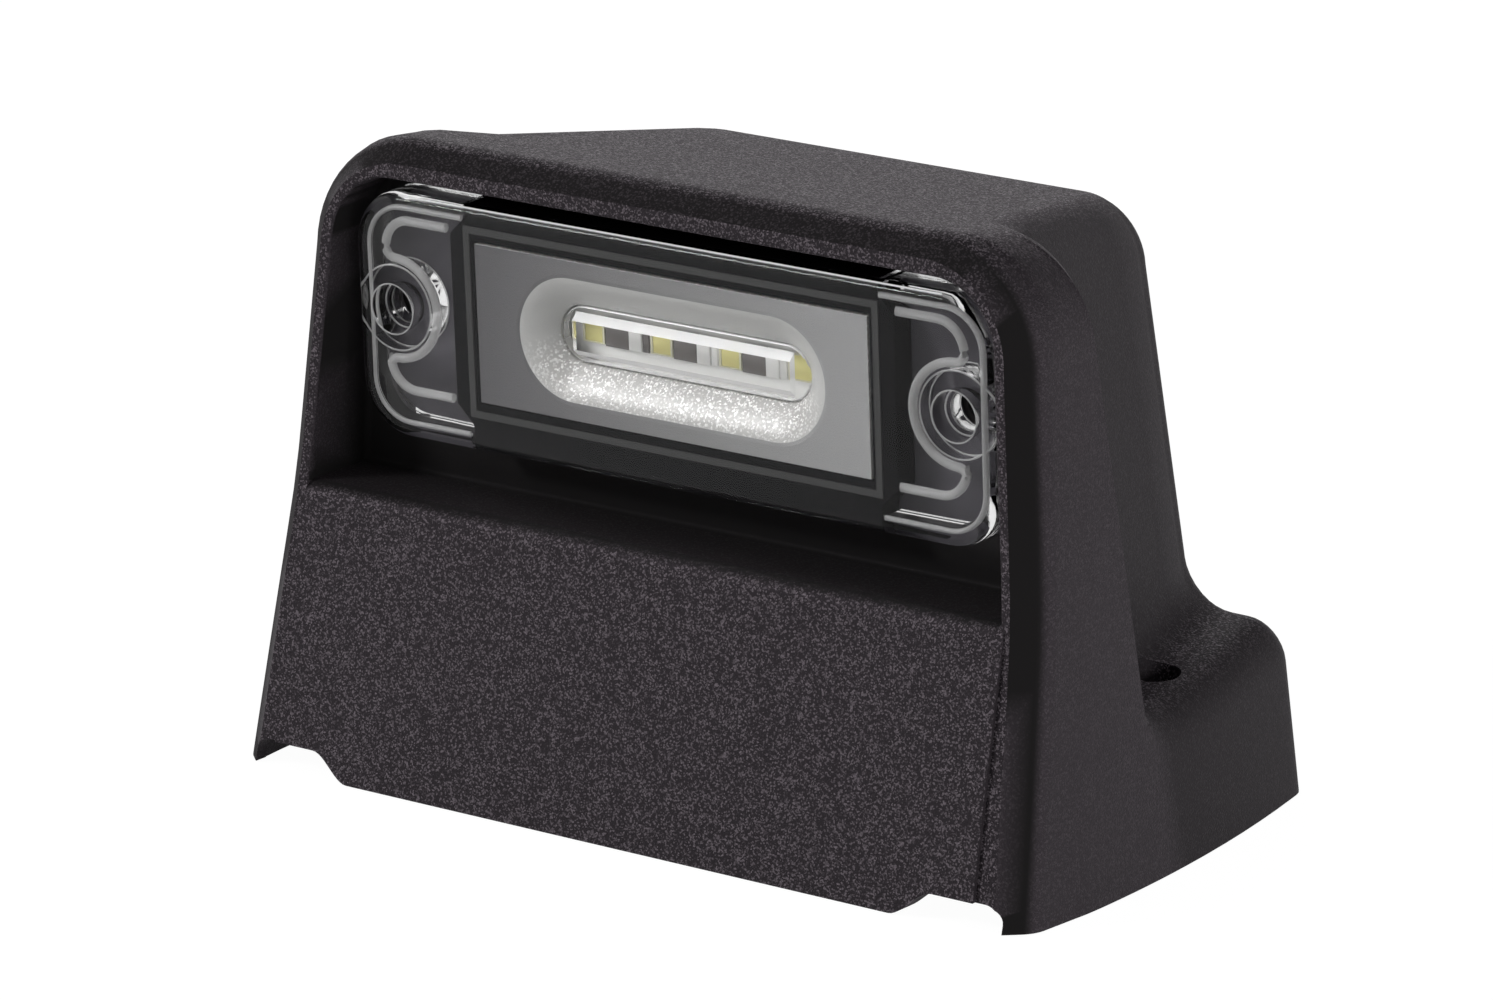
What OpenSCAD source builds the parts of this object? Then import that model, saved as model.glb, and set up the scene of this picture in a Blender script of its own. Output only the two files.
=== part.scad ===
// Number plate lamp: a moulded hood with a deep front recess, and a sealed light unit
// with four LEDs behind a clear lens. The hood stands on its open rim and is bolted
// down through the two rear corner ears.
//
// Frame: X to the right, Y to the back, Z up. The origin is the middle of the rim that
// the hood stands on. All sizes are in millimetres.

/* [Hood] */
// Width of the base at its widest
base_w = 108.6; // [104:0.2:114]
// Depth of the base, from the foot of the chin to the rear face
base_d = 63.4; // [61:0.2:66]
// Height of the roof over the front rim
roof_h = 72.4; // [71:0.2:76]
// Thickness of the moulded walls
wall = 2.4; // [2:0.1:2.8]
// Lean of the sides, for each unit of height
side_lean = 0.088; // [0.08:0.002:0.1]
// Radius of the bowed sides behind the widest place, seen from above
bow_r = 214; // [200:2:260]
// Radius of the bowed sides in front of the widest place
bow_front_r = 90; // [80:5:120]
// Distance of the widest place from the front
bow_front = 15.6; // [12:0.2:18]
// Fall of the roof towards the back, for each unit of depth
roof_fall = 0.133; // [0.12:0.001:0.14]
// Lean of the chin, for each unit of height
chin_lean = 0.18; // [0.15:0.005:0.2]
// How far the chin stands in front of the rim beside it
chin_proud = 0.5; // [0.3:0.1:1]
// Lean of the front rim above the chin
rim_lean = 0.055; // [0.03:0.005:0.08]
// Height of the chin, as a share of the roof's
chin_share = 0.445; // [0.42:0.005:0.46]
// Radius along the upper edge of the chin
chin_r = 2; // [1:0.1:2.4]
// Distance from the outside to the inner edge of the smooth band round the front
band_in = 2.8; // [2.6:0.1:3.4]
// Angle between the smooth band and the front
band_angle = 47; // [40:1:55]
// Radius between the smooth band and the outside
rim_r = 3.5; // [2.5:0.1:4]
// Radius of the hood's upper corners at the front
hood_r = 13.5; // [12:0.5:14]
// Radius of the hood's upper corners at the ridge
ridge_corner_r = 11.6; // [10:0.2:13]
// Radius along the ridge at the back of the hood's side
ridge_r = 1; // [0.6:0.1:1.4]
// Distance of the ridge behind the front, at the base
ridge_back = 28.8; // [28:0.2:30]

/* [Rear body] */
// How far the rear body is drawn in from the widest place where it leaves the hood
neck_in = 10.1; // [8.4:0.1:12]
// How far the rear body is drawn in from the widest place at the rear face
tail_in = 16.3; // [14.5:0.1:18]
// Lean of the rear face, for each unit of height
rear_lean = 0.106; // [0.09:0.002:0.12]
// Radius of the upright rear edges
rear_r = 3.2; // [2.6:0.2:4]

/* [Ears] */
// Height of the ears at the rear face
ear_h = 20.2; // [19:0.2:21]
// Fall of the ears towards the front, for each unit of depth
ear_fall = 0.09; // [0.05:0.01:0.12]
// Radius along the top of the ears
ear_r = 4.8; // [3.8:0.2:5.4]
// Radius of the hollow between ear and body, at the ridge and at the rear face
ear_neck_r = 3.6; // [2.4:0.2:5]
ear_hollow_r = 5; // [4:0.2:5.6]
// Distance of each mounting bolt from the widest place of its side
bolt_in = 9.9; // [9.3:0.1:10.3]
// Diameter of the mounting bolt holes
bolt_d = 5.5; // [5:0.1:6]
// Place of the bolts behind the middle
bolt_back = 7.9; // [7:0.1:9]
// Diameter of the posts round the bolt holes
post_d = 10.8; // [10:0.2:12]

/* [Recess] */
// Width of the rim beside the recess
rim_w = 4.5; // [4.2:0.1:5]
// Thickness of the roof over the recess
brow = 4.6; // [4.2:0.1:4.8]
// Radius of the upper corners of the recess
recess_r = 8; // [6:0.5:9]
// Distance of the bulkhead behind the foot of the chin
unit_y = 15.4; // [15:0.1:16]
// Angle by which the light unit looks down
unit_tilt = 3.2; // [2:0.1:4]
// Width of each notch in the foot of the chin
notch_w = 12.8; // [11:0.2:13.4]
// Height of each notch
notch_h = 3; // [2.6:0.1:3.6]

/* [Lens] */
// Gap between the lens and the sides of the recess, at the top of the recess
lens_side_gap = 0.83; // [0.6:0.01:1.2]
// Gap between the lens and the roof of the recess
lens_top_gap = 1.6; // [1.2:0.1:2]
// Gap between the lens and the floor of the recess
lens_floor_gap = 5.6; // [5:0.1:6]
// Height of the screws over the middle of the lens
screw_up = 0.7; // [0:0.1:1]
// Depth of the lens
lens_d = 4.6; // [4.2:0.1:5]
// Radius of the lens's corners
lens_r = 6.5; // [5.5:0.1:7.5]
// Radius along the front edge of the lens
lens_edge_r = 1.5; // [1.2:0.1:1.8]
// Thickness of the lens
lens_t = 1.2; // [1:0.1:1.4]
// Distance of each lens screw from its end of the lens
screw_in = 5.1; // [5:0.1:5.5]
// Diameter of the lens screw holes
screw_d = 4.5; // [4:0.1:4.8]
// Diameter of the round sink over each lens screw hole
sink_d = 5.8; // [5.4:0.1:6.4]
// Depth of that sink
sink_depth = 2.4; // [2:0.1:2.8]
// Diameter of the clear boss round each lens screw hole
boss_d = 9.8; // [9:0.1:10.2]
// Thickness of the lens's skirt
skirt_t = 1.8; // [1.4:0.1:2]
// Thickness of the curved rib inside each end of the lens
rib_t = 0.9; // [0.7:0.1:1.1]
// Diameter of the pilot holes in the bulkhead for the lens screws
pilot_d = 3.6; // [3:0.1:4]

/* [Light unit] */
// Thickness of the gasket on the bulkhead
gasket_t = 0.6; // [0.5:0.1:1]
// Width of the lamp base's rim beside the reflector plate
tray_rim = 3.6; // [3.2:0.1:4]
// How far the can is drawn in from the lamp base's sides
can_in = 5; // [4.6:0.1:5.4]
// How far the can is drawn in from the top and the foot of the lens
can_down = 4; // [3.8:0.1:4.4]
// Depth of the can behind the bulkhead
can_d = 14; // [13:0.5:16]
// Thickness of the lamp base's walls
can_t = 1.6; // [1.4:0.1:1.8]
// Length of the reflector plate, as a share of the lens's
plate_share = 0.614; // [0.605:0.001:0.62]
// How far the plate is drawn in from the top and the foot of the lens
plate_down = 5.1; // [5:0.1:5.4]
// Length of the clear bar over the LEDs, as a share of the lens's
bar_share = 0.39; // [0.385:0.001:0.4]
// Height of the clear bar
bar_h = 6.4; // [6.2:0.1:6.8]
// How far the reflector bowl reaches past each end of the clear bar
bowl_slope = 4.6; // [4.2:0.1:5]
// Distance of the outer LEDs from the ends of the clear bar
led_in = 2.85; // [2.6:0.05:3]
// Length of an LED's edge
led_size = 3; // [2.6:0.1:3]
// Thickness of the circuit board
board_t = 1.6; // [1.2:0.1:1.8]

/* [Hidden] */
LEDS = [1:4];
GAPS = [1:3];

// Clearance between pieces that slip into each other
slip = 0.2;
// Least gap, between faces that lie against each other
touch = 0.02;
// How far a cutting solid reaches past the face that it opens
over = 1;
// How far a piece sinks into the one that it grows out of
sunk = 0.5;
black = "#2b2829";

front = -base_d / 2;
rear = base_d / 2;
widest = front + bow_front;
chin_h = roof_h * chin_share;
neck_w = base_w / 2 - neck_in;
tail_w = base_w / 2 - tail_in;
bolt_pitch = base_w - 2 * bolt_in;
recess_top = roof_h - brow;
lens_w = 2 * (recess_x(recess_top) - lens_side_gap);
lens_h = recess_top - chin_h - lens_top_gap - lens_floor_gap;
lens_up = lens_h / 2 - screw_up;
lens_down = lens_h / 2 + screw_up;
unit_z = recess_top - lens_top_gap - lens_up;
screw_pitch = lens_w - 2 * screw_in;
// Half length of the smooth change from chin to rim
bend = 5;
bend_foot = chin_h - bend;
rim_foot = front + chin_proud + chin_lean * bend_foot;
rim_start = rim_foot + (chin_lean + rim_lean) * bend;
rim_top = rim_start + rim_lean * (roof_h - chin_h - bend);
// Depth of the smooth band
band_d = (band_in - rim_r * (1 - sin(band_angle))) * tan(band_angle);
// Fall of the ridge to the front, for each unit of height
ridge_lean = 0.125;
// Depth of the step behind the ridge
step_d = 3.6;
// Lean of the rear body's sides
body_lean = 0.1;
// Corner radii of the rear body at the neck and at the tail
neck_r = 5;
tail_r = 7.5;

// Value between a and b at the share s
function mix(a, b, s) = a + (b - a) * s;
// Front of the rim at a height
function front_y(z) =
    z < bend_foot ? front + chin_proud + chin_lean * z
    : z < chin_h + bend
        ? rim_foot + chin_lean * (z - bend_foot)
            + (rim_lean - chin_lean) * pow(z - bend_foot, 2) / (4 * bend)
    : rim_start + rim_lean * (z - chin_h - bend);
// Ridge at the back of the hood's side, at a height
function ridge_y(z) = front + ridge_back - ridge_lean * z;
// Rear face at a height
function rear_y(z) = rear - rear_lean * z;
// Half width of the hood and of the ears
function hood_x(y, z) =
    base_w / 2 - pow(y - widest, 2) / (2 * (y < widest ? bow_front_r : bow_r)) - side_lean * z;
// Half width of the body behind the hood, which narrows from neck to tail
function body_x(s, z) = mix(neck_w, tail_w, s) - body_lean * z;
// Height of the roof
function roof_z(y) = roof_h - roof_fall * (y - rim_top);
// Half width of the recess in the front, and of anything that lies d outside its wall
function recess_x(z, d = 0) = base_w / 2 - side_lean * z - rim_w + d;

// The skin of the hood, the step, the rear body and the ears is one row of cross
// sections from front to back. The first part runs from the front to the ridge, and the
// second from the foot of the step to the rear face. s is the place in its part from 0 to
// 1, shift moves the section to the back, inset sinks it under the skin, edge sinks only
// the side above the ear, and foot is its lowest height.
hood_part = 0;
body_part = 1;
side_levels = [0.3, 0.62, 0.85];
arc_steps = 6;
round_steps = 5;
ear_gap = 0.02;
least_r = 0.6;

function part_y(part, s, shift, z) = shift + (part == hood_part
    ? front_y(z) + s * (ridge_y(z) - front_y(z))
    : ridge_y(z) + step_d + s * (rear_y(z) - ridge_y(z) - step_d));
// Height of the ear at a depth; in front of the ridge it stays as it is there
function ear_z(y) = ear_h - ear_fall * (rear_y(ear_h) - max(y, ridge_y(ear_h)));
function skin_x(part, s, shift, z, inset) = (part == hood_part
    ? hood_x(part_y(part, s, shift, z), z)
    : body_x(s, z)) - inset;
function half_section(part, s, shift, inset, edge, foot) =
    let (
        top = roof_z(part_y(part, s, shift, roof_h)) - inset,
        r = (part == hood_part ? mix(hood_r, ridge_corner_r, s) : mix(neck_r, tail_r, s)) - inset,
        ear_top = ear_z(part_y(part, s, shift, ear_h)) - inset,
        er = max(ear_r - inset, least_r),
        hr = (part == hood_part ? ear_neck_r : mix(ear_neck_r, ear_hollow_r, s)) + inset,
        shoulder = ear_top + hr,
        arc_z = top - r,
        out = part == hood_part ? 0 : 1
    )
    concat(
        // Outside of the ear, or foot of the hood
        [for (z = [foot, ear_top - er])
            let (y = part_y(part, s, shift, z)) [hood_x(y, z) - inset, y, z]],
        // Rounding along the top of the ear
        [for (i = [1:round_steps])
            let (
                a = 90 * i / round_steps,
                z = ear_top - er * (1 - sin(a)),
                y = part_y(part, s, shift, z)
            )
            [hood_x(y, z) - inset - out * er * (1 - cos(a)), y, z]],
        // Hollow between the ear and the body
        [for (i = [0:round_steps])
            let (
                a = 90 * i / round_steps,
                z = ear_top + ear_gap + hr * (1 - cos(a)),
                y = part_y(part, s, shift, z)
            )
            [skin_x(part, s, shift, z, inset + edge * sin(a)) + out * hr * (1 - sin(a)), y, z]],
        // Side, up to the rounded corner
        [for (f = side_levels)
            let (z = shoulder + f * (arc_z - shoulder), y = part_y(part, s, shift, z))
            [skin_x(part, s, shift, z, inset + edge), y, z]],
        // Rounded corner and roof
        [for (i = [0:arc_steps])
            let (
                a = 90 * i / arc_steps,
                z = arc_z + r * sin(a),
                y = part_y(part, s, shift, z)
            )
            [skin_x(part, s, shift, arc_z, inset + edge * cos(a)) - r * (1 - cos(a)), y, z]]
    );
// A closed ring from its right half, listed from the lowest point to the highest
function both_sides(half) =
    concat(half, [for (i = [len(half) - 1:-1:0]) [-half[i][0], half[i][1], half[i][2]]]);
function section(part, s, shift = 0, inset = 0, edge = 0, foot = 0) =
    both_sides(half_section(part, s, shift, inset, edge, foot));

// Solid through a row of rings that run from front to back and have the same number of
// points. Each end is closed by strips between the points that mirror each other.
module loft(rings) {
    n = len(rings[0]);
    half = n / 2;
    last = (len(rings) - 1) * n;
    walls = [for (r = [0:len(rings) - 2], i = [0:n - 1])
        let (j = (i + 1) % n, a = r * n + i, b = r * n + j)
        each [[a, b, b + n], [a, b + n, a + n]]];
    front_cap = [for (i = [0:half - 2])
        each [[i, n - 1 - i, n - 2 - i], [i, n - 2 - i, i + 1]]];
    back_cap = [for (i = [0:half - 2])
        each [[last + i, last + n - 2 - i, last + n - 1 - i],
              [last + i, last + i + 1, last + n - 2 - i]]];
    polyhedron(points = [for (r = rings) each r], faces = concat(walls, front_cap, back_cap));
}

// Solid of a flat outline in X and Z, from one depth to another
module between(y0, y1) {
    translate([0, y1, 0]) rotate([90, 0, 0]) linear_extrude(y1 - y0) children();
}
module both_ends() {
    children();
    mirror([1, 0, 0]) children();
}
// Place of the light unit: its children sit on the front of the bulkhead, tilted with it
module on_bulkhead() {
    translate([0, front + unit_y, unit_z]) rotate([unit_tilt, 0, 0]) children();
}
// Everything between two depths of the bulkhead
module slab(y0, y1) {
    on_bulkhead() translate([-base_w, y0, -roof_h]) cube([2 * base_w, y1 - y0, 2 * roof_h]);
}

// Housing

module outer_skin() {
    loft(concat(
        [section(hood_part, 0, 0, band_in)],
        [for (f = [0:0.25:1]) let (a = band_angle + (90 - band_angle) * f)
            section(hood_part, 0, band_d + rim_r * (cos(band_angle) - cos(a)), rim_r * (1 - sin(a)))],
        [for (s = [0.5, 0.75]) section(hood_part, s)],
        [for (a = [90, 45, 0]) section(hood_part, 1, -ridge_r * sin(a), 0, ridge_r * (1 - sin(a)))],
        [for (s = [0, 0.5]) section(body_part, s)],
        [for (a = [90, 60, 30, 0]) section(body_part, 1, -rear_r * (1 - cos(a)), rear_r * (1 - sin(a)))]
    ));
}
// Space inside the walls, open at the foot
module inner_space() {
    loft(concat(
        [section(hood_part, 0, wall, wall, 0, -over)],
        [for (s = [0.5, 1]) section(hood_part, s, -wall * s, wall, 0, -over)],
        [for (s = [0, 0.5, 1]) section(body_part, s, -wall, wall, 0, -over)]
    ));
}
// Outline of the recess seen from the front, or of its shell d outside it
module recess_outline(d = 0) {
    top = recess_top + d;
    r = recess_r + d;
    z0 = chin_h - d;
    zc = top - r;
    right = concat(
        [[recess_x(z0, d), z0], [recess_x(zc, d), zc]],
        [for (i = [1:arc_steps]) let (a = 90 * i / arc_steps)
            [recess_x(zc, d) - r * (1 - cos(a)), zc + r * sin(a)]]
    );
    polygon(concat(right, [for (i = [len(right) - 1:-1:0]) [-right[i][0], right[i][1]]]));
}
module recess(d = 0) {
    intersection() {
        between(front - over, rear) recess_outline(d);
        slab(-base_d, d);
    }
}
// Solid of a flat outline in Y and Z that reaches w to each side of the middle
module across(w) {
    translate([-w, 0, 0]) rotate([90, 0, 90]) linear_extrude(2 * w) children();
}
// Slab that stands in front of the rim, with its upper edge rounded over. It reaches
// past the recess by chin_side.
chin_side = 0.6;
chin_y = front_y(chin_h) - chin_proud;
chin_arc = [for (a = [0:15:90]) [chin_y + chin_r * (1 - cos(a)), chin_h - chin_r * (1 - sin(a))]];
module chin_face() {
    across(recess_x(chin_h, chin_side)) polygon(concat(
        [[front + wall, 0], [front, 0], [front_y(bend_foot) - chin_proud, bend_foot]],
        chin_arc,
        [[chin_y + chin_r + wall, chin_h]]
    ));
}
// What is cut off the rim behind the slab for its rounded edge
module chin_rounding() {
    across(recess_x(chin_h)) polygon(concat(
        [[chin_y - over, chin_h + over], [chin_y - over, chin_h - chin_r]],
        chin_arc,
        [[chin_y + chin_r, chin_h + over]]
    ));
}
// Notch in the foot of the chin. Its inner side rises in an S, and its outer end is
// upright with a rounded corner.
notch_side = 1.1;
notch_slope_w = 5.2;
notch_end_r = 2;
module notch() {
    x0 = recess_x(0) - notch_w;
    x1 = recess_x(0) + notch_side;
    between(front - over, front + wall + over) polygon(concat(
        [[x0, -over]],
        [for (f = [0:0.125:1]) [x0 + notch_slope_w * f, notch_h * f * f * (3 - 2 * f)]],
        [for (a = [90:-30:0])
            [x1 - notch_end_r * (1 - cos(a)), notch_h - notch_end_r * (1 - sin(a))]],
        [[x1, -over]]
    ));
}
module bolt_post() {
    translate([bolt_pitch / 2, bolt_back, 0]) cylinder(h = ear_z(bolt_back) - wall / 2, d = post_d, $fn = 48);
}
// Thin plates that tie each post to the rear wall and stiffen it on the inside
post_rib_t = 1.6;
post_rib_w = 12;
module post_ribs() {
    top = ear_z(bolt_back) - wall;
    translate([bolt_pitch / 2, bolt_back, 0]) {
        translate([-post_rib_t / 2, 0, 0])
            cube([post_rib_t, rear_y(top) - bolt_back - wall / 2, top]);
        translate([-post_rib_w, -post_rib_t / 2, 0]) cube([post_rib_w, post_rib_t, top]);
    }
}
module bolt_bore() {
    translate([bolt_pitch / 2, bolt_back, -over])
        cylinder(h = ear_h + ear_hollow_r + 3 * over, d = bolt_d, $fn = 48);
}
// Boss behind the bulkhead that takes a lens screw
boss_len = 9;
pilot_wall = 2.3;
module screw_boss() {
    on_bulkhead() translate([screw_pitch / 2, wall / 2, 0]) rotate([-90, 0, 0])
        cylinder(h = boss_len, d = pilot_d + 2 * pilot_wall, $fn = 48);
}
module screw_pilot() {
    on_bulkhead() translate([screw_pitch / 2, -over, 0]) rotate([-90, 0, 0])
        cylinder(h = boss_len + over, d = pilot_d, $fn = 48);
}
module can_opening() {
    w = can_w + slip;
    h = can_h + slip;
    on_bulkhead() translate([-w, -over, -h]) cube([2 * w, wall + 2 * over, 2 * h]);
}
module housing() {
    color(black) difference() {
        union() {
            outer_skin();
            chin_face();
        }
        difference() {
            inner_space();
            recess(wall);
            both_ends() {
                bolt_post();
                post_ribs();
                screw_boss();
            }
        }
        recess();
        chin_rounding();
        can_opening();
        both_ends() {
            notch();
            bolt_bore();
            screw_pilot();
        }
    }
}

// Light unit. Depths are measured from the front of the bulkhead: the gasket lies from
// 0 to -gasket_t, and the lens stands on it.

lens_front = -(gasket_t + lens_d);
lens_back = lens_front + lens_t;
plate_front = lens_back + slip / 2;
plate_t = 1;
plate_back = plate_front + plate_t;
plate_w = lens_w / 2 * plate_share;
plate_h = lens_h / 2 - plate_down;
bar_w = lens_w * bar_share;
bowl_w = bar_w + 2 * bowl_slope;
// Flat of the plate above and under the bowl, taken together
plate_edge = 1.8;
bowl_h = 2 * plate_h - plate_edge;
tray_w = plate_w + tray_rim;
can_w = tray_w - can_in;
can_h = lens_h / 2 - can_down;
// The lamp base is widest beside the plate, and above and under it is drawn in by tray_in
tray_over = 0.7;
tray_mid = plate_h + tray_over;
tray_in = 2.2;
window_front = -1.2;
window_back = 0.5;
led_t = 0.8;
led_gap = 0.4;
board_front = window_back + led_gap + led_t;
board_back = board_front + board_t;
board_w = can_w - can_t - 2 * slip;
board_h = can_h - can_t - 2 * slip;

// Right half of a rounded rectangle, from its lowest point to its highest
function half_plate(w, down, up, r, y) = concat(
    [for (i = [0:arc_steps]) let (a = -90 + 90 * i / arc_steps)
        [w - r + r * cos(a), y, -down + r + r * sin(a)]],
    [for (i = [0:arc_steps]) let (a = 90 * i / arc_steps)
        [w - r + r * cos(a), y, up - r + r * sin(a)]]
);
function lens_ring(inset, y) =
    both_sides(half_plate(lens_w / 2 - inset, lens_down - inset, lens_up - inset, lens_r - inset, y));
// Right half of a slot with round ends
slot_steps = 12;
function half_slot(w, h, y) = [for (i = [0:slot_steps]) let (a = -90 + 180 * i / slot_steps)
    [w / 2 - h / 2 + h / 2 * cos(a), y, h / 2 * sin(a)]];
function slot_ring(w, h, y) = both_sides(half_slot(w, h, y));

// Front outline of the lamp base: wider in the middle, with sloped corners
module tray_outline(d = 0) {
    w = tray_w + d;
    n = tray_w - tray_in + d;
    right = [
        [n, -lens_down - d], [n, -tray_mid - tray_in], [w, -tray_mid],
        [w, tray_mid], [n, tray_mid + tray_in], [n, lens_up + d]
    ];
    polygon(concat(right, [for (i = [len(right) - 1:-1:0]) [-right[i][0], right[i][1]]]));
}
// Outline of the curved rib inside each end of the lens, or of what lies d inside it. The
// rib keeps its distance from the skirt and bends in an arc round the boss.
rib_up_gap = 1;
rib_down_gap = 3.4;
rib_boss_gap = 0.8;
rib_corner_r = 3;
module rib_outline(d) {
    x0 = tray_w - tray_in - over;
    x1 = lens_w / 2 - 2 * skirt_t - d;
    up = lens_up - skirt_t - rib_up_gap - d;
    down = lens_down - skirt_t - rib_down_gap - d;
    r = rib_corner_r - d;
    bend_r = boss_d / 2 + rib_boss_gap + d;
    difference() {
        polygon(concat(
            [[x0, -down]],
            [for (i = [0:3]) let (a = -90 + 30 * i) [x1 - r + r * cos(a), -down + r + r * sin(a)]],
            [for (i = [0:3]) let (a = 30 * i) [x1 - r + r * cos(a), up - r + r * sin(a)]],
            [[x0, up]]
        ));
        translate([screw_pitch / 2, 0]) circle(r = bend_r, $fn = 48);
        translate([screw_pitch / 2, -bend_r]) square([boss_d, 2 * bend_r]);
    }
}
module lens() {
    color([0.9, 0.93, 0.95, 0.35]) on_bulkhead() difference() {
        loft(concat(
            [for (a = [0, 30, 60, 90])
                lens_ring(lens_edge_r * (1 - sin(a)), lens_front + lens_edge_r * (1 - cos(a)))],
            [lens_ring(0, -gasket_t)]
        ));
        difference() {
            loft([lens_ring(skirt_t, lens_back), lens_ring(skirt_t, over)]);
            both_ends() {
                between(lens_front + lens_t / 2, -gasket_t) difference() {
                    rib_outline(0);
                    rib_outline(rib_t);
                }
                translate([screw_pitch / 2, lens_front + lens_t / 2, 0]) rotate([-90, 0, 0])
                    cylinder(h = lens_d - lens_t / 2, d = boss_d, $fn = 48);
            }
        }
        between(lens_back, over) tray_outline(slip / 2);
        both_ends() translate([screw_pitch / 2, 0, 0]) rotate([90, 0, 0]) {
            cylinder(h = lens_d + gasket_t + over, d = screw_d, $fn = 48);
            translate([0, 0, -lens_front - sink_depth])
                cylinder(h = sink_depth + over, d = sink_d, $fn = 48);
        }
    }
}
// Ring round the reflector plate, in a groove of the lamp base. It reaches past the plate
// by seal_side at the ends, and by seal_up above and under it.
seal_t = 0.8;
seal_side = 1.5;
seal_up = 1.9;
module seal_outline(d = 0) {
    w = plate_w + seal_side + d;
    h = plate_h + seal_up + d;
    difference() {
        translate([-w, -h]) square([2 * w, 2 * h]);
        translate([-w + seal_t + 2 * d, -h + seal_t + 2 * d])
            square([2 * (w - seal_t - 2 * d), 2 * (h - seal_t - 2 * d)]);
    }
}
module lens_seal() {
    color("dimgray") on_bulkhead() between(lens_back + touch, lens_back + seal_t) seal_outline();
}
// Snap hook at each end of the can, which holds it behind the bulkhead
hook_h = 8;
hook_gap = 0.05;
hook_out = 1.2;
hook_edge = 0.6;
hook_len = 3.2;
module hook() {
    x0 = can_w - can_t / 2;
    x1 = can_w + hook_out;
    y0 = wall + hook_gap;
    y1 = y0 + hook_len;
    translate([0, 0, -hook_h / 2]) linear_extrude(hook_h)
        polygon([[x0, y0], [x1, y0], [x1, y0 + hook_edge], [can_w, y1], [x0, y1]]);
}
// Ledge at each end of the can that the circuit board rests on
ledge_w = 2;
ledge_t = 2.4;
module board_ledge() {
    translate([board_w - ledge_w, board_back, -can_h + can_t / 2])
        cube([can_w - can_t / 2 - board_w + ledge_w, ledge_t, 2 * can_h - can_t]);
}
module lamp_base() {
    color("#222021") on_bulkhead() difference() {
        union() {
            between(lens_back + touch, -gasket_t) tray_outline(-slip / 2);
            translate([-can_w, -gasket_t - sunk, -can_h])
                cube([2 * can_w, can_d + gasket_t + sunk, 2 * can_h]);
            both_ends() hook();
        }
        // Seat of the reflector plate
        translate([-plate_w - slip, lens_back - over, -plate_h - slip])
            cube([2 * (plate_w + slip), plate_back - lens_back + over, 2 * (plate_h + slip)]);
        // Inside of the can, with the ledges left standing
        difference() {
            translate([-can_w + can_t, lens_back, -can_h + can_t])
                cube([2 * (can_w - can_t), can_d - lens_back + over, 2 * (can_h - can_t)]);
            both_ends() board_ledge();
        }
        between(lens_back - over, lens_back + seal_t + slip / 2) seal_outline(slip / 2);
    }
}
// Flat foam ring between the lens and the bulkhead
gasket_in = 0.6;
gasket_hole_gap = 0.3;
module gasket() {
    color("#3a3a3c") on_bulkhead() between(-gasket_t, 0) difference() {
        polygon([for (p = lens_ring(gasket_in, 0)) [p[0], p[2]]]);
        translate([-can_w - slip, -can_h - slip]) square([2 * (can_w + slip), 2 * (can_h + slip)]);
        both_ends() translate([screw_pitch / 2, 0]) circle(d = screw_d + 2 * gasket_hole_gap, $fn = 48);
    }
}
// Flat plate with a slot-shaped bowl round the LEDs
bowl_t = 0.7;
module reflector() {
    back_w = bar_w + 2 * slip;
    back_h = bar_h + 2 * slip;
    color("#b9bcbc") on_bulkhead() difference() {
        union() {
            translate([-plate_w, plate_front, -plate_h]) cube([2 * plate_w, plate_t, 2 * plate_h]);
            loft([
                slot_ring(bowl_w, bowl_h, plate_front + plate_t / 2),
                slot_ring(back_w + 2 * bowl_t, back_h + 2 * bowl_t, window_back)
            ]);
        }
        loft([
            slot_ring(bowl_w, bowl_h - 2 * bowl_t, plate_front - over),
            slot_ring(bowl_w - bowl_t, bowl_h - 2 * bowl_t, plate_front),
            slot_ring(back_w, back_h, window_front),
            slot_ring(back_w, back_h, window_back + over)
        ]);
    }
}
// Clear bar with a rounded front, over the row of LEDs
window_r = 1;
module led_window() {
    r = window_r;
    color([0.92, 0.95, 0.96, 0.4]) on_bulkhead() loft(concat(
        [for (a = [0, 45, 90])
            slot_ring(bar_w - 2 * r * (1 - sin(a)), bar_h - 2 * r * (1 - sin(a)), window_front - r * cos(a))],
        [slot_ring(bar_w, bar_h, window_back)]
    ));
}
module circuit_board() {
    color("darkgreen") on_bulkhead() difference() {
        translate([-board_w, board_front, -board_h]) cube([2 * board_w, board_t, 2 * board_h]);
        for (x = [-1, 1]) translate([pin_x + x * pin_gap / 2, board_front - over, 0]) rotate([-90, 0, 0])
            cylinder(h = board_t + 2 * over, d = pin_d, $fn = 24);
    }
}
// Place of an LED in the row, counted from the left, and of the gap after it
led_pitch = (bar_w - 2 * led_in) / (len([for (i = LEDS) i]) - 1);
function led_x(i) = led_in - bar_w / 2 + (i - 1) * led_pitch;
// A square frame with the round window of the LED standing a little proud of it
led_frame_t = 0.56;
led_window_d = 2.6;
module led(i) {
    color("#e9dc8a") on_bulkhead() translate([led_x(i), board_front, 0]) {
        translate([-led_size / 2, -led_frame_t, -led_size / 2])
            cube([led_size, led_frame_t, led_size]);
        rotate([90, 0, 0]) cylinder(h = led_t, d = led_window_d, $fn = 32);
    }
}
chip_l = 3.2;
chip_h = 2.4;
chip_t = 0.6;
module resistor(i) {
    color("#26262a") on_bulkhead()
        translate([led_x(i) + led_pitch / 2 - chip_l / 2, board_front - chip_t, -chip_h / 2])
            cube([chip_l, chip_t, chip_h]);
}
// A flat part on the back of the circuit board
module back_chip(at, size) {
    on_bulkhead() translate([at[0] * board_w - size[0] / 2, board_back, at[1] * board_h - size[2] / 2])
        cube(size);
}
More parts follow.
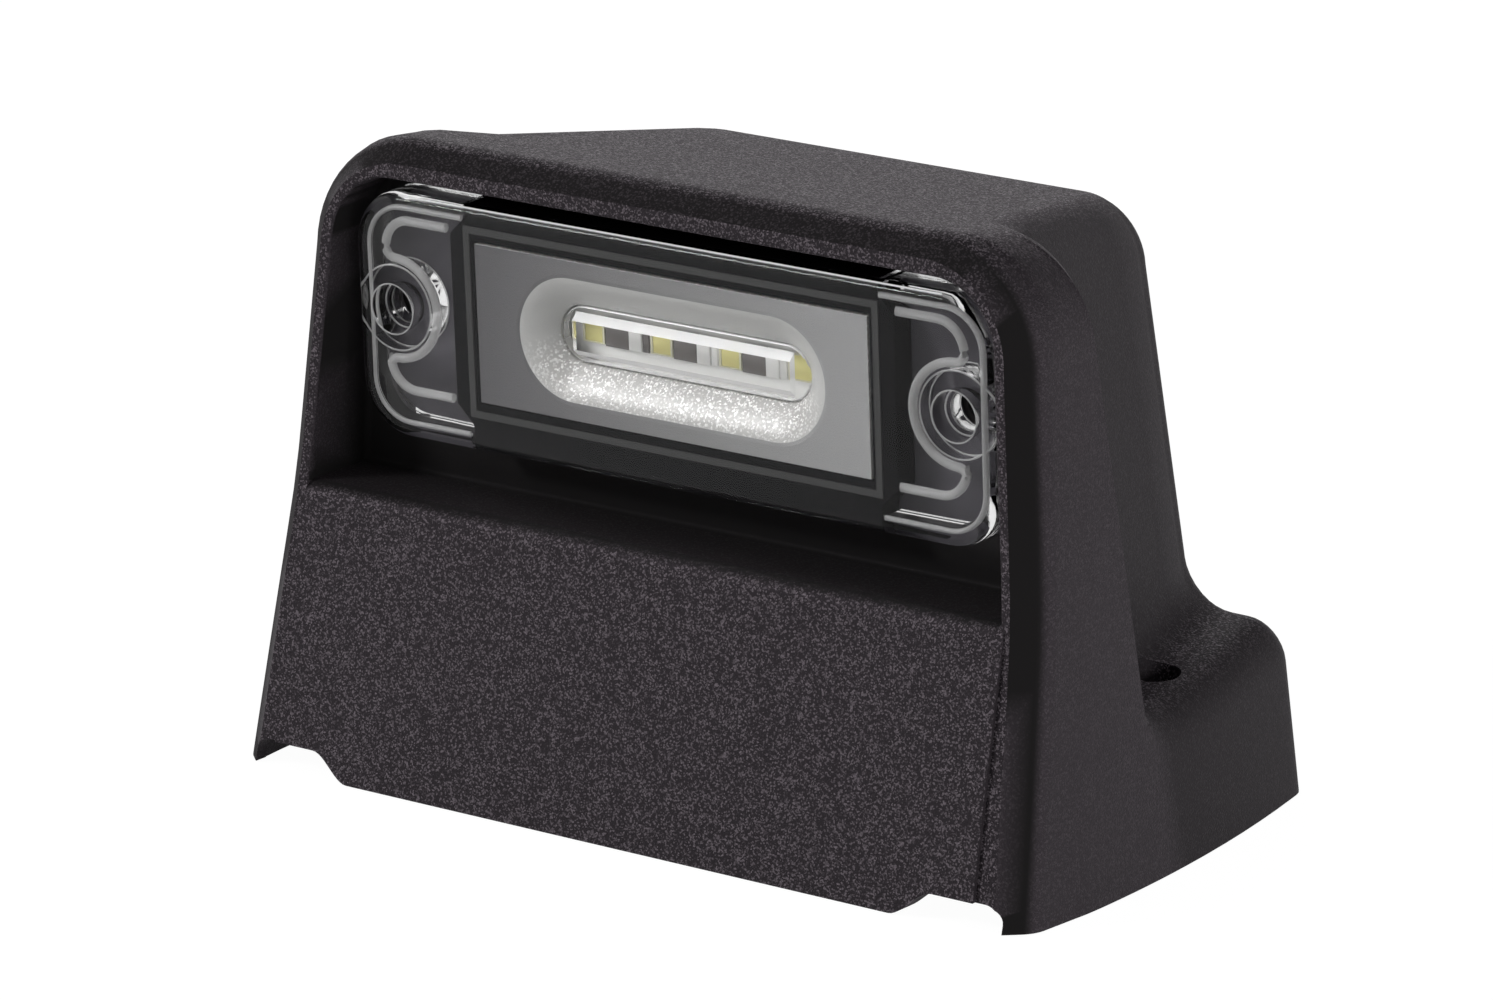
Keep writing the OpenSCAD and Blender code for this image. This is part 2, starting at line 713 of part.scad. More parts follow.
// Places along the board and across it, as shares of its half width and half height
driver_at = [-0.17, 0];
driver_size = [5, 1.6, 4];
diode_at = [0.3, 0.5];
diode_size = [4.4, 2.2, 2.6];
surge_at = [0.3, -0.5];
surge_size = [4.6, 2.2, 3.6];
capacitor_at = [-0.57, 0];
capacitor_d = 5;
capacitor_h = 5.4;
capacitor_foot = [5.2, 5.2, 0.6];
module driver_chip() {
    color("#1d1d1f") back_chip(driver_at, driver_size);
}
module diode() {
    color("#28282a") back_chip(diode_at, diode_size);
}
module surge_absorber() {
    color("#303034") back_chip(surge_at, surge_size);
}
module capacitor() {
    color("silver") on_bulkhead() translate([capacitor_at[0] * board_w, board_back, 0])
        rotate([-90, 0, 0]) {
            translate([-capacitor_foot[0] / 2, -capacitor_foot[1] / 2, 0]) cube(capacitor_foot);
            cylinder(h = capacitor_h, d = capacitor_d, $fn = 36);
        }
}
// Two pins through the board that the supply wires are soldered to
pin_x = 0.7 * board_w;
pin_gap = 5;
pin_d = 1.2;
pin_out = 5;
module pin(side) {
    color("goldenrod") on_bulkhead() translate([pin_x + side * pin_gap / 2, board_front, 0])
        rotate([-90, 0, 0]) cylinder(h = board_t + pin_out, d = pin_d, $fn = 24);
}
module supply_pin() {
    pin(-1);
}
module ground_pin() {
    pin(1);
}
// Lid at the back of the can, with a lip that slips inside its walls
cover_t = 1.8;
lip_d = 1.6;
lip_t = 0.8;
gland_d = 6.6;
module back_cover() {
    w = can_w - can_t - slip / 2;
    h = can_h - can_t - slip / 2;
    color("#252324") on_bulkhead() difference() {
        union() {
            translate([-can_w, can_d, -can_h]) cube([2 * can_w, cover_t, 2 * can_h]);
            translate([-w, can_d - lip_d, -h]) cube([2 * w, lip_d + cover_t / 2, 2 * h]);
        }
        translate([-w + lip_t, can_d - lip_d - over, -h + lip_t])
            cube([2 * (w - lip_t), lip_d + over, 2 * (h - lip_t)]);
        rotate([-90, 0, 0]) cylinder(h = can_d + cover_t + over, d = gland_d, $fn = 48);
    }
}
// Rubber bush in the lid, which the supply cable passes through
cable_d = 4.6;
flange_w = 0.9;
flange_t = 1.2;
module cable_grommet() {
    flange_d = gland_d + 2 * flange_w;
    y0 = can_d - flange_t;
    color("#1b1b1b") on_bulkhead() translate([0, y0, 0]) rotate([-90, 0, 0]) difference() {
        union() {
            cylinder(h = flange_t, d = flange_d, $fn = 48);
            cylinder(h = flange_t + cover_t + flange_t, d = gland_d, $fn = 48);
            translate([0, 0, flange_t + cover_t]) cylinder(h = flange_t, d = flange_d, $fn = 48);
        }
        translate([0, 0, -over]) cylinder(h = 2 * flange_t + cover_t + 2 * over, d = cable_d, $fn = 48);
    }
}

housing();
lens();
lamp_base();
lens_seal();
gasket();
reflector();
led_window();
circuit_board();
for (i = LEDS) led(i);
for (i = GAPS) resistor(i);
driver_chip();
capacitor();
diode();
surge_absorber();
supply_pin();
ground_pin();
back_cover();
cable_grommet();
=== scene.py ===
# %% [markdown]
# This lesson dresses a number plate lamp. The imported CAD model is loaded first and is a
# fixed frame: every piece below is made in the same place and at the same size. Sizes in
# this file are millimetres, and MM turns them into Blender's metres.

import math

import bpy
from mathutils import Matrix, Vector


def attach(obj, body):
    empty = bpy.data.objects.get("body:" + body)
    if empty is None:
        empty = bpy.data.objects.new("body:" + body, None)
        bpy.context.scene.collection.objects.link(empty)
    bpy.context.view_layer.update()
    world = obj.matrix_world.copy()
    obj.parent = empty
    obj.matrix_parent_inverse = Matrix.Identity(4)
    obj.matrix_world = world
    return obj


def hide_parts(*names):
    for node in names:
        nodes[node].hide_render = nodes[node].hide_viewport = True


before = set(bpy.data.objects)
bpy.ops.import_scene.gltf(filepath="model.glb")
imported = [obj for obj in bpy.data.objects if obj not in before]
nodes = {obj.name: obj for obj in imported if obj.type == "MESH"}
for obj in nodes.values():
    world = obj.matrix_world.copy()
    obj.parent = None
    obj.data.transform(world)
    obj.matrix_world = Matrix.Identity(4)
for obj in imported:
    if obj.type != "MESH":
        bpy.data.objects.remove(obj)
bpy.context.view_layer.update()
MM = 0.001
print("CAD nodes:", len(nodes))

# %% [markdown]
# The camera comes next, because every later choice is judged through it. A long lens far
# away gives the flat perspective of a catalogue picture: the lamp is seen from its right
# and a little from above. Focal length and sensor are in millimetres, and the nearest and
# farthest depth that the camera sees are in metres.

# %% Camera
EYE = (527.03, -719.12, 285.56)
TARGET = (-1.16, -5.3, 33.05)
FOCAL_LENGTH, SENSOR_W = 202.34, 36
NEAREST, FARTHEST = 0.05, 20

bpy.ops.object.camera_add(location=[v * MM for v in EYE])
camera = bpy.context.object
camera.name = "camera"
camera.data.sensor_width = SENSOR_W
camera.data.lens = FOCAL_LENGTH
camera.data.clip_start = NEAREST
camera.data.clip_end = FARTHEST
look = Vector(TARGET) - Vector(EYE)
camera.rotation_euler = look.to_track_quat("-Z", "Y").to_euler()
bpy.context.scene.camera = camera
bpy.context.scene.view_settings.view_transform = "Standard"
print("camera distance", round(look.length), "mm")

# %% [markdown]
# A few helpers do by code what a hand does in the window: pick one object, add a
# modifier and apply it, cut one solid with another. Operators act on all that is
# selected, so each helper first clears the selection.


# %% Helpers for picking and modifiers
def pick(*objects):
    if bpy.context.object and bpy.context.object.mode != "OBJECT":
        bpy.ops.object.mode_set(mode="OBJECT")
    bpy.ops.object.select_all(action="DESELECT")
    for obj in objects:
        obj.select_set(True)
    if objects:
        bpy.context.view_layer.objects.active = objects[0]


def modify(obj, kind, **settings):
    pick(obj)
    modifier = obj.modifiers.new(kind.lower(), kind)
    for name, value in settings.items():
        setattr(modifier, name, value)
    bpy.ops.object.modifier_apply(modifier=modifier.name)


def combine(obj, other, operation="DIFFERENCE"):
    """Cuts other out of obj, or joins them, and takes other away."""
    modify(obj, "BOOLEAN", object=other, operation=operation, solver="MANIFOLD")
    bpy.data.objects.remove(other)


def in_edit_mode(obj, *edits):
    """Selects the whole mesh and runs each edit on it."""
    pick(obj)
    bpy.ops.object.mode_set(mode="EDIT")
    bpy.ops.mesh.select_all(action="SELECT")
    for edit in edits:
        edit()
    bpy.ops.object.mode_set(mode="OBJECT")


def merge():
    bpy.ops.mesh.remove_doubles(threshold=0.001 * MM)


def outwards():
    bpy.ops.mesh.normals_make_consistent(inside=False)


def soften(obj, angle=35):
    """Smooth shading that keeps every edge sharper than angle."""
    pick(obj)
    bpy.ops.object.shade_smooth_by_angle(angle=math.radians(angle))


def report(obj):
    print(obj.name, len(obj.data.vertices), "points", len(obj.data.polygons), "faces")


# %% [markdown]
# The hood has no flat side: its width, height and corner change from front to back. Such
# a form is a loft, a skin through cross sections. A grid is added whose columns are the
# points of one section and whose rows are the sections, and each of its points is put in
# its place. The first and last sections are drawn in to the middle, so that merging
# doubled points closes the skin.

# %% Loft helper
CAP_SHARES = (0, 0.25, 0.5, 0.75)


def loft(name, rings):
    """A closed skin through rings of points in millimetres, capped at both ends."""
    start = [[(x * f, y, z) for x, y, z in rings[0]] for f in CAP_SHARES]
    end = [[(x * f, y, z) for x, y, z in rings[-1]] for f in reversed(CAP_SHARES)]
    rows = [ring + ring[:1] for ring in start + rings + end]
    pick()
    bpy.ops.mesh.primitive_grid_add(x_subdivisions=len(rows[0]) - 1, y_subdivisions=len(rows) - 1)
    obj = bpy.context.object
    obj.name = name
    flat = [v * MM for row in rows for point in row for v in point]
    obj.data.vertices.foreach_set("co", flat)
    in_edit_mode(obj, merge, outwards)
    return obj


def both_sides(half):
    return half + [(-x, y, z) for x, y, z in reversed(half)]


print("a cap has", len(CAP_SHARES), "rows")

# %% [markdown]
# These are the hood's driving sizes, and below them is what follows from them. The
# outside leans and bows, so there are slopes and radii among them.

# %% Sizes of the hood
BASE_W, BASE_D, ROOF_H = 108.6, 63.4, 72.4
WALL = 2.4
SIDE_LEAN, BODY_LEAN, REAR_LEAN = 0.088, 0.1, 0.106
BOW_R, BOW_FRONT_R, BOW_FRONT = 214, 90, 15.6
ROOF_FALL = 0.133
CHIN_LEAN, CHIN_PROUD, CHIN_R, CHIN_SIDE, CHIN_SHARE = 0.18, 0.5, 2, 0.6, 0.445
RIM_LEAN, RIM_W, RIM_R = 0.055, 4.5, 3.5
BAND_IN, BAND_ANGLE = 2.8, math.radians(47)
HOOD_R, RIDGE_CORNER_R = 13.5, 11.6
RIDGE_R, RIDGE_BACK, RIDGE_LEAN, STEP_D = 1.0, 28.8, 0.125, 3.6
NECK_IN, TAIL_IN = 10.1, 16.3
NECK_R, TAIL_R, REAR_R = 5, 7.5, 3.2
EAR_H, EAR_FALL, EAR_R, EAR_NECK_R, EAR_HOLLOW_R = 20.2, 0.09, 4.8, 3.6, 5
BOLT_IN, BOLT_D, BOLT_BACK, POST_D = 9.9, 5.5, 7.9, 10.8
BROW, RECESS_R = 4.6, 8
UNIT_Y, UNIT_TILT = 15.4, math.radians(3.2)
NOTCH_W, NOTCH_H, NOTCH_SIDE, NOTCH_SLOPE_W, NOTCH_END_R = 12.8, 3.0, 1.1, 5.2, 2.0
BEND = 5

FRONT, REAR = -BASE_D / 2, BASE_D / 2
WIDEST = FRONT + BOW_FRONT
NECK_W, TAIL_W = BASE_W / 2 - NECK_IN, BASE_W / 2 - TAIL_IN
BOLT_PITCH = BASE_W - 2 * BOLT_IN
CHIN_H = ROOF_H * CHIN_SHARE
RECESS_TOP = ROOF_H - BROW
BEND_FOOT = CHIN_H - BEND
RIM_FOOT = FRONT + CHIN_PROUD + CHIN_LEAN * BEND_FOOT
RIM_START = RIM_FOOT + (CHIN_LEAN + RIM_LEAN) * BEND
RIM_TOP = RIM_START + RIM_LEAN * (ROOF_H - CHIN_H - BEND)
BAND_D = (BAND_IN - RIM_R * (1 - math.sin(BAND_ANGLE))) * math.tan(BAND_ANGLE)
print("hood", BASE_W, "wide,", BASE_D, "deep, chin", round(CHIN_H, 1), "high")

# %% [markdown]
# These formulas give the outside at any depth y and height z: the front edge, the ridge
# and the rear face as depths, the sides and the recess as half widths, and the roof and
# the ears as heights. They serve every ring of the loft and every cutter alike.


# %% Surfaces of the hood
def mix(a, b, s):
    return a + (b - a) * s


def front_y(z):
    if z < BEND_FOOT:
        return FRONT + CHIN_PROUD + CHIN_LEAN * z
    if z < CHIN_H + BEND:
        bent = (RIM_LEAN - CHIN_LEAN) * (z - BEND_FOOT) ** 2 / (4 * BEND)
        return RIM_FOOT + CHIN_LEAN * (z - BEND_FOOT) + bent
    return RIM_START + RIM_LEAN * (z - CHIN_H - BEND)


def ridge_y(z):
    return FRONT + RIDGE_BACK - RIDGE_LEAN * z


def rear_y(z):
    return REAR - REAR_LEAN * z


def hood_x(y, z):
    bow = BOW_FRONT_R if y < WIDEST else BOW_R
    return BASE_W / 2 - (y - WIDEST) ** 2 / (2 * bow) - SIDE_LEAN * z


def body_x(s, z):
    return mix(NECK_W, TAIL_W, s) - BODY_LEAN * z


def roof_z(y):
    return ROOF_H - ROOF_FALL * (y - RIM_TOP)


def recess_x(z, d=0):
    return BASE_W / 2 - SIDE_LEAN * z - RIM_W + d


def ear_z(y):
    return EAR_H - EAR_FALL * (rear_y(EAR_H) - max(y, ridge_y(EAR_H)))


print("rim from", round(front_y(0), 1), "at the foot to", round(RIM_TOP, 1), "at the roof")

# %% [markdown]
# The light unit fills the recess, so its outline comes from the recess and a gap on each
# side. The screws sit a little above the lens's middle, and their height is the unit's
# own zero. Plate and can keep a margin to the lens, so that all of them grow together.

# %% Outline of the light unit
LENS_SIDE_GAP, LENS_TOP_GAP, LENS_FLOOR_GAP = 0.83, 1.6, 5.6
SCREW_UP, SCREW_IN = 0.7, 5.1
PLATE_SHARE, PLATE_DOWN = 0.614, 5.1
TRAY_RIM, CAN_IN, CAN_DOWN, SLIP = 3.6, 5, 4, 0.2

LENS_W = 2 * (recess_x(RECESS_TOP) - LENS_SIDE_GAP)
LENS_H = RECESS_TOP - CHIN_H - LENS_TOP_GAP - LENS_FLOOR_GAP
LENS_UP, LENS_DOWN = LENS_H / 2 - SCREW_UP, LENS_H / 2 + SCREW_UP
UNIT_Z = RECESS_TOP - LENS_TOP_GAP - LENS_UP
SCREW_PITCH = LENS_W - 2 * SCREW_IN
PLATE_W, PLATE_H = LENS_W / 2 * PLATE_SHARE, LENS_H / 2 - PLATE_DOWN
TRAY_W = PLATE_W + TRAY_RIM
CAN_W, CAN_H = TRAY_W - CAN_IN, LENS_H / 2 - CAN_DOWN
print("lens", round(LENS_W, 1), "x", round(LENS_H, 1), "screws", round(SCREW_PITCH, 1), "apart")

# %% [markdown]
# One cross section runs from the foot over the ear, the hollow, the side and the rounded
# corner to the roof. In front of the ridge the ear and the hollow lie flat in the side.
# "part" says which stretch the section is in, and s runs from 0 to 1 along it.

# %% Cross sections of the hood
HOOD, BODY = 0, 1
ARC_STEPS, ROUND_STEPS, SIDE_STEPS = 14, 8, 8
EAR_LEVELS = (0, 0.2, 0.5, 1)
EAR_GAP, LEAST_R = 0.02, 0.6


def part_y(part, s, shift, z):
    if part == HOOD:
        return shift + mix(front_y(z), ridge_y(z), s)
    return shift + mix(ridge_y(z) + STEP_D, rear_y(z), s)


def quarter(steps):
    return [math.pi / 2 * i / steps for i in range(steps + 1)]


def half_section(part, s, shift=0, inset=0, edge=0, foot=0):
    out = 1 if part == BODY else 0
    top = roof_z(part_y(part, s, shift, ROOF_H)) - inset
    r = (mix(HOOD_R, RIDGE_CORNER_R, s) if part == HOOD else mix(NECK_R, TAIL_R, s)) - inset
    hollow_r = (EAR_NECK_R if part == HOOD else mix(EAR_NECK_R, EAR_HOLLOW_R, s)) + inset
    ear_top = ear_z(part_y(part, s, shift, EAR_H)) - inset
    ear_r = max(EAR_R - inset, LEAST_R)
    arc_z = top - r

    def skin(z, sunk):
        if part == HOOD:
            return hood_x(part_y(part, s, shift, z), z) - sunk
        return body_x(s, z) - sunk

    def at(x, z):
        return (x, part_y(part, s, shift, z), z)

    def ear(x_in, z):
        return at(hood_x(part_y(part, s, shift, z), z) - inset - x_in, z)

    points = [ear(0, mix(foot, ear_top - ear_r, f)) for f in EAR_LEVELS]
    for a in quarter(ROUND_STEPS)[1:]:
        points.append(ear(out * ear_r * (1 - math.cos(a)), ear_top - ear_r * (1 - math.sin(a))))
    for a in quarter(ROUND_STEPS):
        z = ear_top + EAR_GAP + hollow_r * (1 - math.cos(a))
        x = skin(z, inset + edge * math.sin(a)) + out * hollow_r * (1 - math.sin(a))
        points.append(at(x, z))
    shoulder = ear_top + hollow_r
    for i in range(1, SIDE_STEPS):
        z = mix(shoulder, arc_z, i / SIDE_STEPS)
        points.append(at(skin(z, inset + edge), z))
    for a in quarter(ARC_STEPS):
        x = skin(arc_z, inset + edge * math.cos(a)) - r * (1 - math.cos(a))
        points.append(at(x, arc_z + r * math.sin(a)))
    return points


def section(*place, **sunk):
    return both_sides(half_section(*place, **sunk))


print("points in one section:", len(section(HOOD, 0)))

# %% [markdown]
# The outside of the hood starts at the flat lip round the recess. A plain band, painted
# dark as shade, slants back from the lip, and a rounding leads into the textured side. At
# the back of the side stands the ridge, and behind it the narrower body runs to the rear face.

# %% Outside of the hood
SIDE_FROM, SIDE_TO, BODY_TO = 0.42, 0.9, 0.85


def steps(start, end, count):
    return [mix(start, end, i / count) for i in range(count + 1)]


def outer_rings():
    rings = [section(HOOD, 0, inset=BAND_IN)]
    for a in steps(BAND_ANGLE, math.pi / 2, 8):
        back = BAND_D + RIM_R * (math.cos(BAND_ANGLE) - math.cos(a))
        rings.append(section(HOOD, 0, shift=back, inset=RIM_R * (1 - math.sin(a))))
    rings += [section(HOOD, s) for s in steps(SIDE_FROM, SIDE_TO, 6)]
    for a in reversed(quarter(4)):
        rings.append(section(HOOD, 1, shift=-RIDGE_R * math.sin(a), edge=RIDGE_R * (1 - math.sin(a))))
    rings += [section(BODY, s) for s in steps(0, BODY_TO, 6)]
    for a in quarter(6):
        back = -REAR_R * (1 - math.sin(a))
        rings.append(section(BODY, 1, shift=back, inset=REAR_R * (1 - math.cos(a))))
    return rings


hood = loft("hood", outer_rings())
report(hood)

# %% [markdown]
# The light unit sits on a bulkhead that looks down a little. Pieces of the unit are made
# upright, with their depth measured from the bulkhead's front, and then seated: moved and
# tilted, with the move applied so that each object stays at the origin.

# %% Helpers for flat outlines and for the light unit
ROUND_SIDES = 64


def settled(name):
    """Names the active object and writes its place, turn and scale into its mesh."""
    obj = bpy.context.object
    obj.name = name
    bpy.ops.object.transform_apply(location=True, rotation=True, scale=True)
    return obj


def seat(obj):
    """Moves a piece of the light unit from its own frame into the lamp."""
    pick(obj)
    obj.location = (0, (FRONT + UNIT_Y) * MM, UNIT_Z * MM)
    obj.rotation_euler = (UNIT_TILT, 0, 0)
    return settled(obj.name)


def pulled(name, corners, move):
    """A solid of a flat outline, given by its corners in space and pulled out by move."""
    pick()
    bpy.ops.mesh.primitive_circle_add(vertices=len(corners), fill_type="NGON")
    obj = bpy.context.object
    obj.name = name
    obj.data.vertices.foreach_set("co", [v * MM for corner in corners for v in corner])
    way = {"value": [v * MM for v in move]}
    in_edit_mode(obj, lambda: bpy.ops.mesh.extrude_region_move(TRANSFORM_OT_translate=way))
    in_edit_mode(obj, outwards)
    return obj


def prism(name, outline, y0, y1):
    """A solid of a flat outline in X and Z, from depth y0 to y1."""
    return pulled(name, [(x, y0, z) for x, z in outline], (0, y1 - y0, 0))


def cylinder(name, radius, length, middle, turn):
    pick()
    bpy.ops.mesh.primitive_cylinder_add(
        vertices=ROUND_SIDES, radius=radius * MM, depth=length * MM,
        location=[v * MM for v in middle], rotation=turn)
    return settled(name)


def rod(name, radius, y0, y1, x):
    """A round solid along Y, at the height of the screws."""
    return cylinder(name, radius, y1 - y0, (x, (y0 + y1) / 2, 0), (math.pi / 2, 0, 0))


def post(name, radius, z0, z1, x, y):
    """A round solid along Z."""
    return cylinder(name, radius, z1 - z0, (x, y, (z0 + z1) / 2), (0, 0, 0))


def block(name, low, high):
    """A box between its lowest and its highest corner."""
    pick()
    middle = [(a + b) / 2 * MM for a, b in zip(low, high)]
    bpy.ops.mesh.primitive_cube_add(size=1, location=middle)
    bpy.context.object.scale = [(b - a) * MM for a, b in zip(low, high)]
    return settled(name)


def mirrored(points):
    """A closed outline from its right half, listed from the lowest point to the highest."""
    return points + [(-x, z) for x, z in reversed(points)]


print("unit seated at height", round(UNIT_Z, 1), "tilt", round(math.degrees(UNIT_TILT), 1))

# %% [markdown]
# The hood is a shell: the space inside follows the outside one wall thickness deeper,
# and the walls round the recess, the bolt posts, their ribs and the screw bosses are kept
# out of that space. The recess is one more loft. Its front edge flares a little and its
# deep edge is filleted, so that both edges catch a thin line of light. A cutter reaches
# OVER past what it cuts, and a piece that is joined to another is SUNK into it.

# %% The recess
OVER, FAR_OVER, SUNK = 1, 3, 0.5
LIP_R, LIP_FLARE, FILLET_R = 0.35, 0.3, 0.8


def bulkhead_y(z, depth=0):
    return FRONT + UNIT_Y + depth - (z - UNIT_Z) * math.tan(UNIT_TILT)


def recess_half(d, floor, depth):
    """Right half of the recess outline; depth gives each point's Y from its Z."""
    top = RECESS_TOP + d
    r = RECESS_R + d
    arc_z = top - r
    points = [(recess_x(z, d), z) for z in steps(floor, arc_z, 6)]
    for a in quarter(ARC_STEPS)[1:]:
        points.append((recess_x(arc_z, d) - r * (1 - math.cos(a)), arc_z + r * math.sin(a)))
    return [(x, depth(z), z) for x, z in points]


def recess_solid(name, d=0):
    """What is cut away for the recess, or with d the block that its walls fill."""
    floor = CHIN_H - d
    rings = []
    if d == 0:
        for a in quarter(4):
            inner = -FILLET_R * (1 - math.sin(a))
            back = -FILLET_R * (1 - math.cos(a))
            rings.append(recess_half(inner, floor - inner, lambda z: bulkhead_y(z, back)))
        for a in quarter(4):
            flare = LIP_R * (1 - math.cos(a))
            level = LIP_R * (1 - math.sin(a))
            rings.append(recess_half(flare, floor, lambda z: front_y(z) + level))
        rings.append(recess_half(LIP_R + LIP_FLARE, floor, lambda z: front_y(z) - FAR_OVER))
    else:
        rings.append(recess_half(d, floor, lambda z: bulkhead_y(z, d)))
        rings.append(recess_half(d, floor, lambda z: front_y(z) - FAR_OVER))
    return loft(name, [both_sides(half) for half in rings])


print("recess", round(RECESS_TOP - CHIN_H, 1), "high")

# %% Space inside the hood
BOSS_LEN, PILOT_D, PILOT_WALL = 9, 3.6, 2.3
RIB_T, RIB_W = 1.6, 12


def inner_rings():
    low = {"inset": WALL, "foot": -OVER}
    rings = [section(HOOD, s, shift=WALL * (1 - 2 * s), **low) for s in steps(0, 1, 8)]
    return rings + [section(BODY, s, shift=-WALL, **low) for s in steps(0, 1, 6)]


space = loft("space", inner_rings())
combine(space, recess_solid("recess_walls", WALL))
for side in (-1, 1):
    x = side * BOLT_PITCH / 2
    rib_top = ear_z(BOLT_BACK) - WALL
    inward = x - side * RIB_W
    combine(space, post("bolt_post", POST_D / 2, -2 * OVER, ear_z(BOLT_BACK) - WALL / 2, x, BOLT_BACK))
    combine(space, block("long_rib", (x - RIB_T / 2, BOLT_BACK, -2 * OVER),
                         (x + RIB_T / 2, rear_y(rib_top) - WALL / 2, rib_top)))
    combine(space, block("cross_rib", (min(x, inward), BOLT_BACK - RIB_T / 2, -2 * OVER),
                         (max(x, inward), BOLT_BACK + RIB_T / 2, rib_top)))
    boss_r = PILOT_D / 2 + PILOT_WALL
    boss = rod("screw_boss", boss_r, WALL / 2, WALL / 2 + BOSS_LEN, side * SCREW_PITCH / 2)
    combine(space, seat(boss))
report(space)

# %% [markdown]
# Chin, notches and holes finish the hood. The chin is a slab that stands half a
# millimetre in front of the rim beside it, with its upper edge rounded over. Such an
# outline in depth and height is drawn once and pulled out to both sides.

# %% Chin and notches
CHIN_Y = front_y(CHIN_H) - CHIN_PROUD
CHIN_ARC = [(CHIN_Y + CHIN_R * (1 - math.cos(a)), CHIN_H - CHIN_R * (1 - math.sin(a)))
            for a in quarter(10)]


def across(name, outline, half):
    """A solid of a flat outline in Y and Z that reaches half to each side."""
    return pulled(name, [(-half, y, z) for y, z in outline], (2 * half, 0, 0))


def chin_slab():
    foot = [(FRONT + WALL, 0), (FRONT, 0), (front_y(BEND_FOOT) - CHIN_PROUD, BEND_FOOT)]
    outline = foot + CHIN_ARC + [(CHIN_Y + CHIN_R + WALL, CHIN_H)]
    return across("chin", outline, recess_x(CHIN_H, CHIN_SIDE))


def chin_rounding():
    over_edge = [(CHIN_Y - OVER, CHIN_H + OVER), (CHIN_Y - OVER, CHIN_H - CHIN_R)]
    outline = over_edge + CHIN_ARC + [(CHIN_Y + CHIN_R, CHIN_H + OVER)]
    return across("chin_rounding", outline, recess_x(CHIN_H))


def notch(side):
    x0 = recess_x(0) - NOTCH_W
    x1 = recess_x(0) + NOTCH_SIDE
    points = [(x0, -OVER)]
    points += [(x0 + NOTCH_SLOPE_W * f, NOTCH_H * f * f * (3 - 2 * f)) for f in steps(0, 1, 12)]
    for a in reversed(quarter(8)):
        level = NOTCH_H - NOTCH_END_R * (1 - math.sin(a))
        points.append((x1 - NOTCH_END_R * (1 - math.cos(a)), level))
    points.append((x1, -OVER))
    return prism("notch", [(side * x, z) for x, z in points], FRONT - OVER, FRONT + WALL + OVER)


print("chin front at", round(CHIN_Y, 1))

# %% Finish the hood's shape
combine(hood, chin_slab(), "UNION")
combine(hood, space)
combine(hood, recess_solid("recess"))
combine(hood, chin_rounding())
hole_w, hole_h = CAN_W + SLIP, CAN_H + SLIP
can_hole = block("can_hole", (-hole_w, -OVER, -hole_h), (hole_w, WALL + OVER, hole_h))
combine(hood, seat(can_hole))
for side in (-1, 1):
    combine(hood, notch(side))
    bore_top = EAR_H + EAR_HOLLOW_R + FAR_OVER
    combine(hood, post("bolt_bore", BOLT_D / 2, -OVER, bore_top, side * BOLT_PITCH / 2, BOLT_BACK))
    combine(hood, seat(rod("pilot", PILOT_D / 2, -OVER, BOSS_LEN, side * SCREW_PITCH / 2)))
soften(hood)
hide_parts("housing")
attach(hood, "root")
report(hood)

# %% [markdown]
# The lens is clear plastic, and light bends in it, so its inside matters as much as its
# outside. It is a tray turned over: a plate with rounded front edges, a skirt all round,
# a thick boss round each screw, and a hollow behind. The hollow is cut as one solid from
# which the bosses have been left out.

# %% Sizes of the light unit
LENS_D, LENS_R, LENS_T = 4.6, 6.5, 1.2
LENS_SOFT_R, EDGE_R, SKIRT_T = 0.5, 1.5, 1.8
SCREW_D, SINK_D, SINK_DEPTH, BOSS_D = 4.5, 5.8, 2.4, 9.8
GASKET_T, TRAY_IN, TRAY_OVER, CAN_D, CAN_T = 0.6, 2.2, 0.7, 14, 1.6
PLATE_T, PLATE_EDGE, BOWL_T, BOWL_SLOPE = 1, 1.8, 0.7, 4.6
BAR_SHARE, BAR_H, WINDOW_FRONT, WINDOW_BACK = 0.39, 6.4, -1.2, 0.5

TRAY_MID = PLATE_H + TRAY_OVER
BAR_W = LENS_W * BAR_SHARE
BOWL_W, BOWL_H = BAR_W + 2 * BOWL_SLOPE, 2 * PLATE_H - PLATE_EDGE
LENS_FRONT = -(GASKET_T + LENS_D)
LENS_BACK = LENS_FRONT + LENS_T
PLATE_FRONT = LENS_BACK + SLIP / 2
PLATE_BACK = PLATE_FRONT + PLATE_T
print("lens depth", LENS_FRONT, "to", -GASKET_T)


# %% Lens
def lens_ring(inset, y):
    """The outline of the lens, drawn in by inset, at depth y."""
    r, x = LENS_R - inset, LENS_W / 2 - LENS_R
    low = [(x + r * math.cos(a), y, LENS_R - LENS_DOWN - r * math.sin(a)) for a in reversed(quarter(10))]
    high = [(x + r * math.cos(a), y, LENS_UP - LENS_R + r * math.sin(a)) for a in quarter(10)]
    return both_sides(low + high)


def tray_half(d=0):
    w, n = TRAY_W + d, TRAY_W - TRAY_IN + d
    return [(n, -LENS_DOWN - d), (n, -TRAY_MID - TRAY_IN), (w, -TRAY_MID),
            (w, TRAY_MID), (n, TRAY_MID + TRAY_IN), (n, LENS_UP + d)]


def lens_skin():
    rings = []
    for a in quarter(6):
        rings.append(lens_ring(EDGE_R * (1 - math.sin(a)), LENS_FRONT + EDGE_R * (1 - math.cos(a))))
    return loft("lens_moulding", rings + [lens_ring(0, -GASKET_T)])


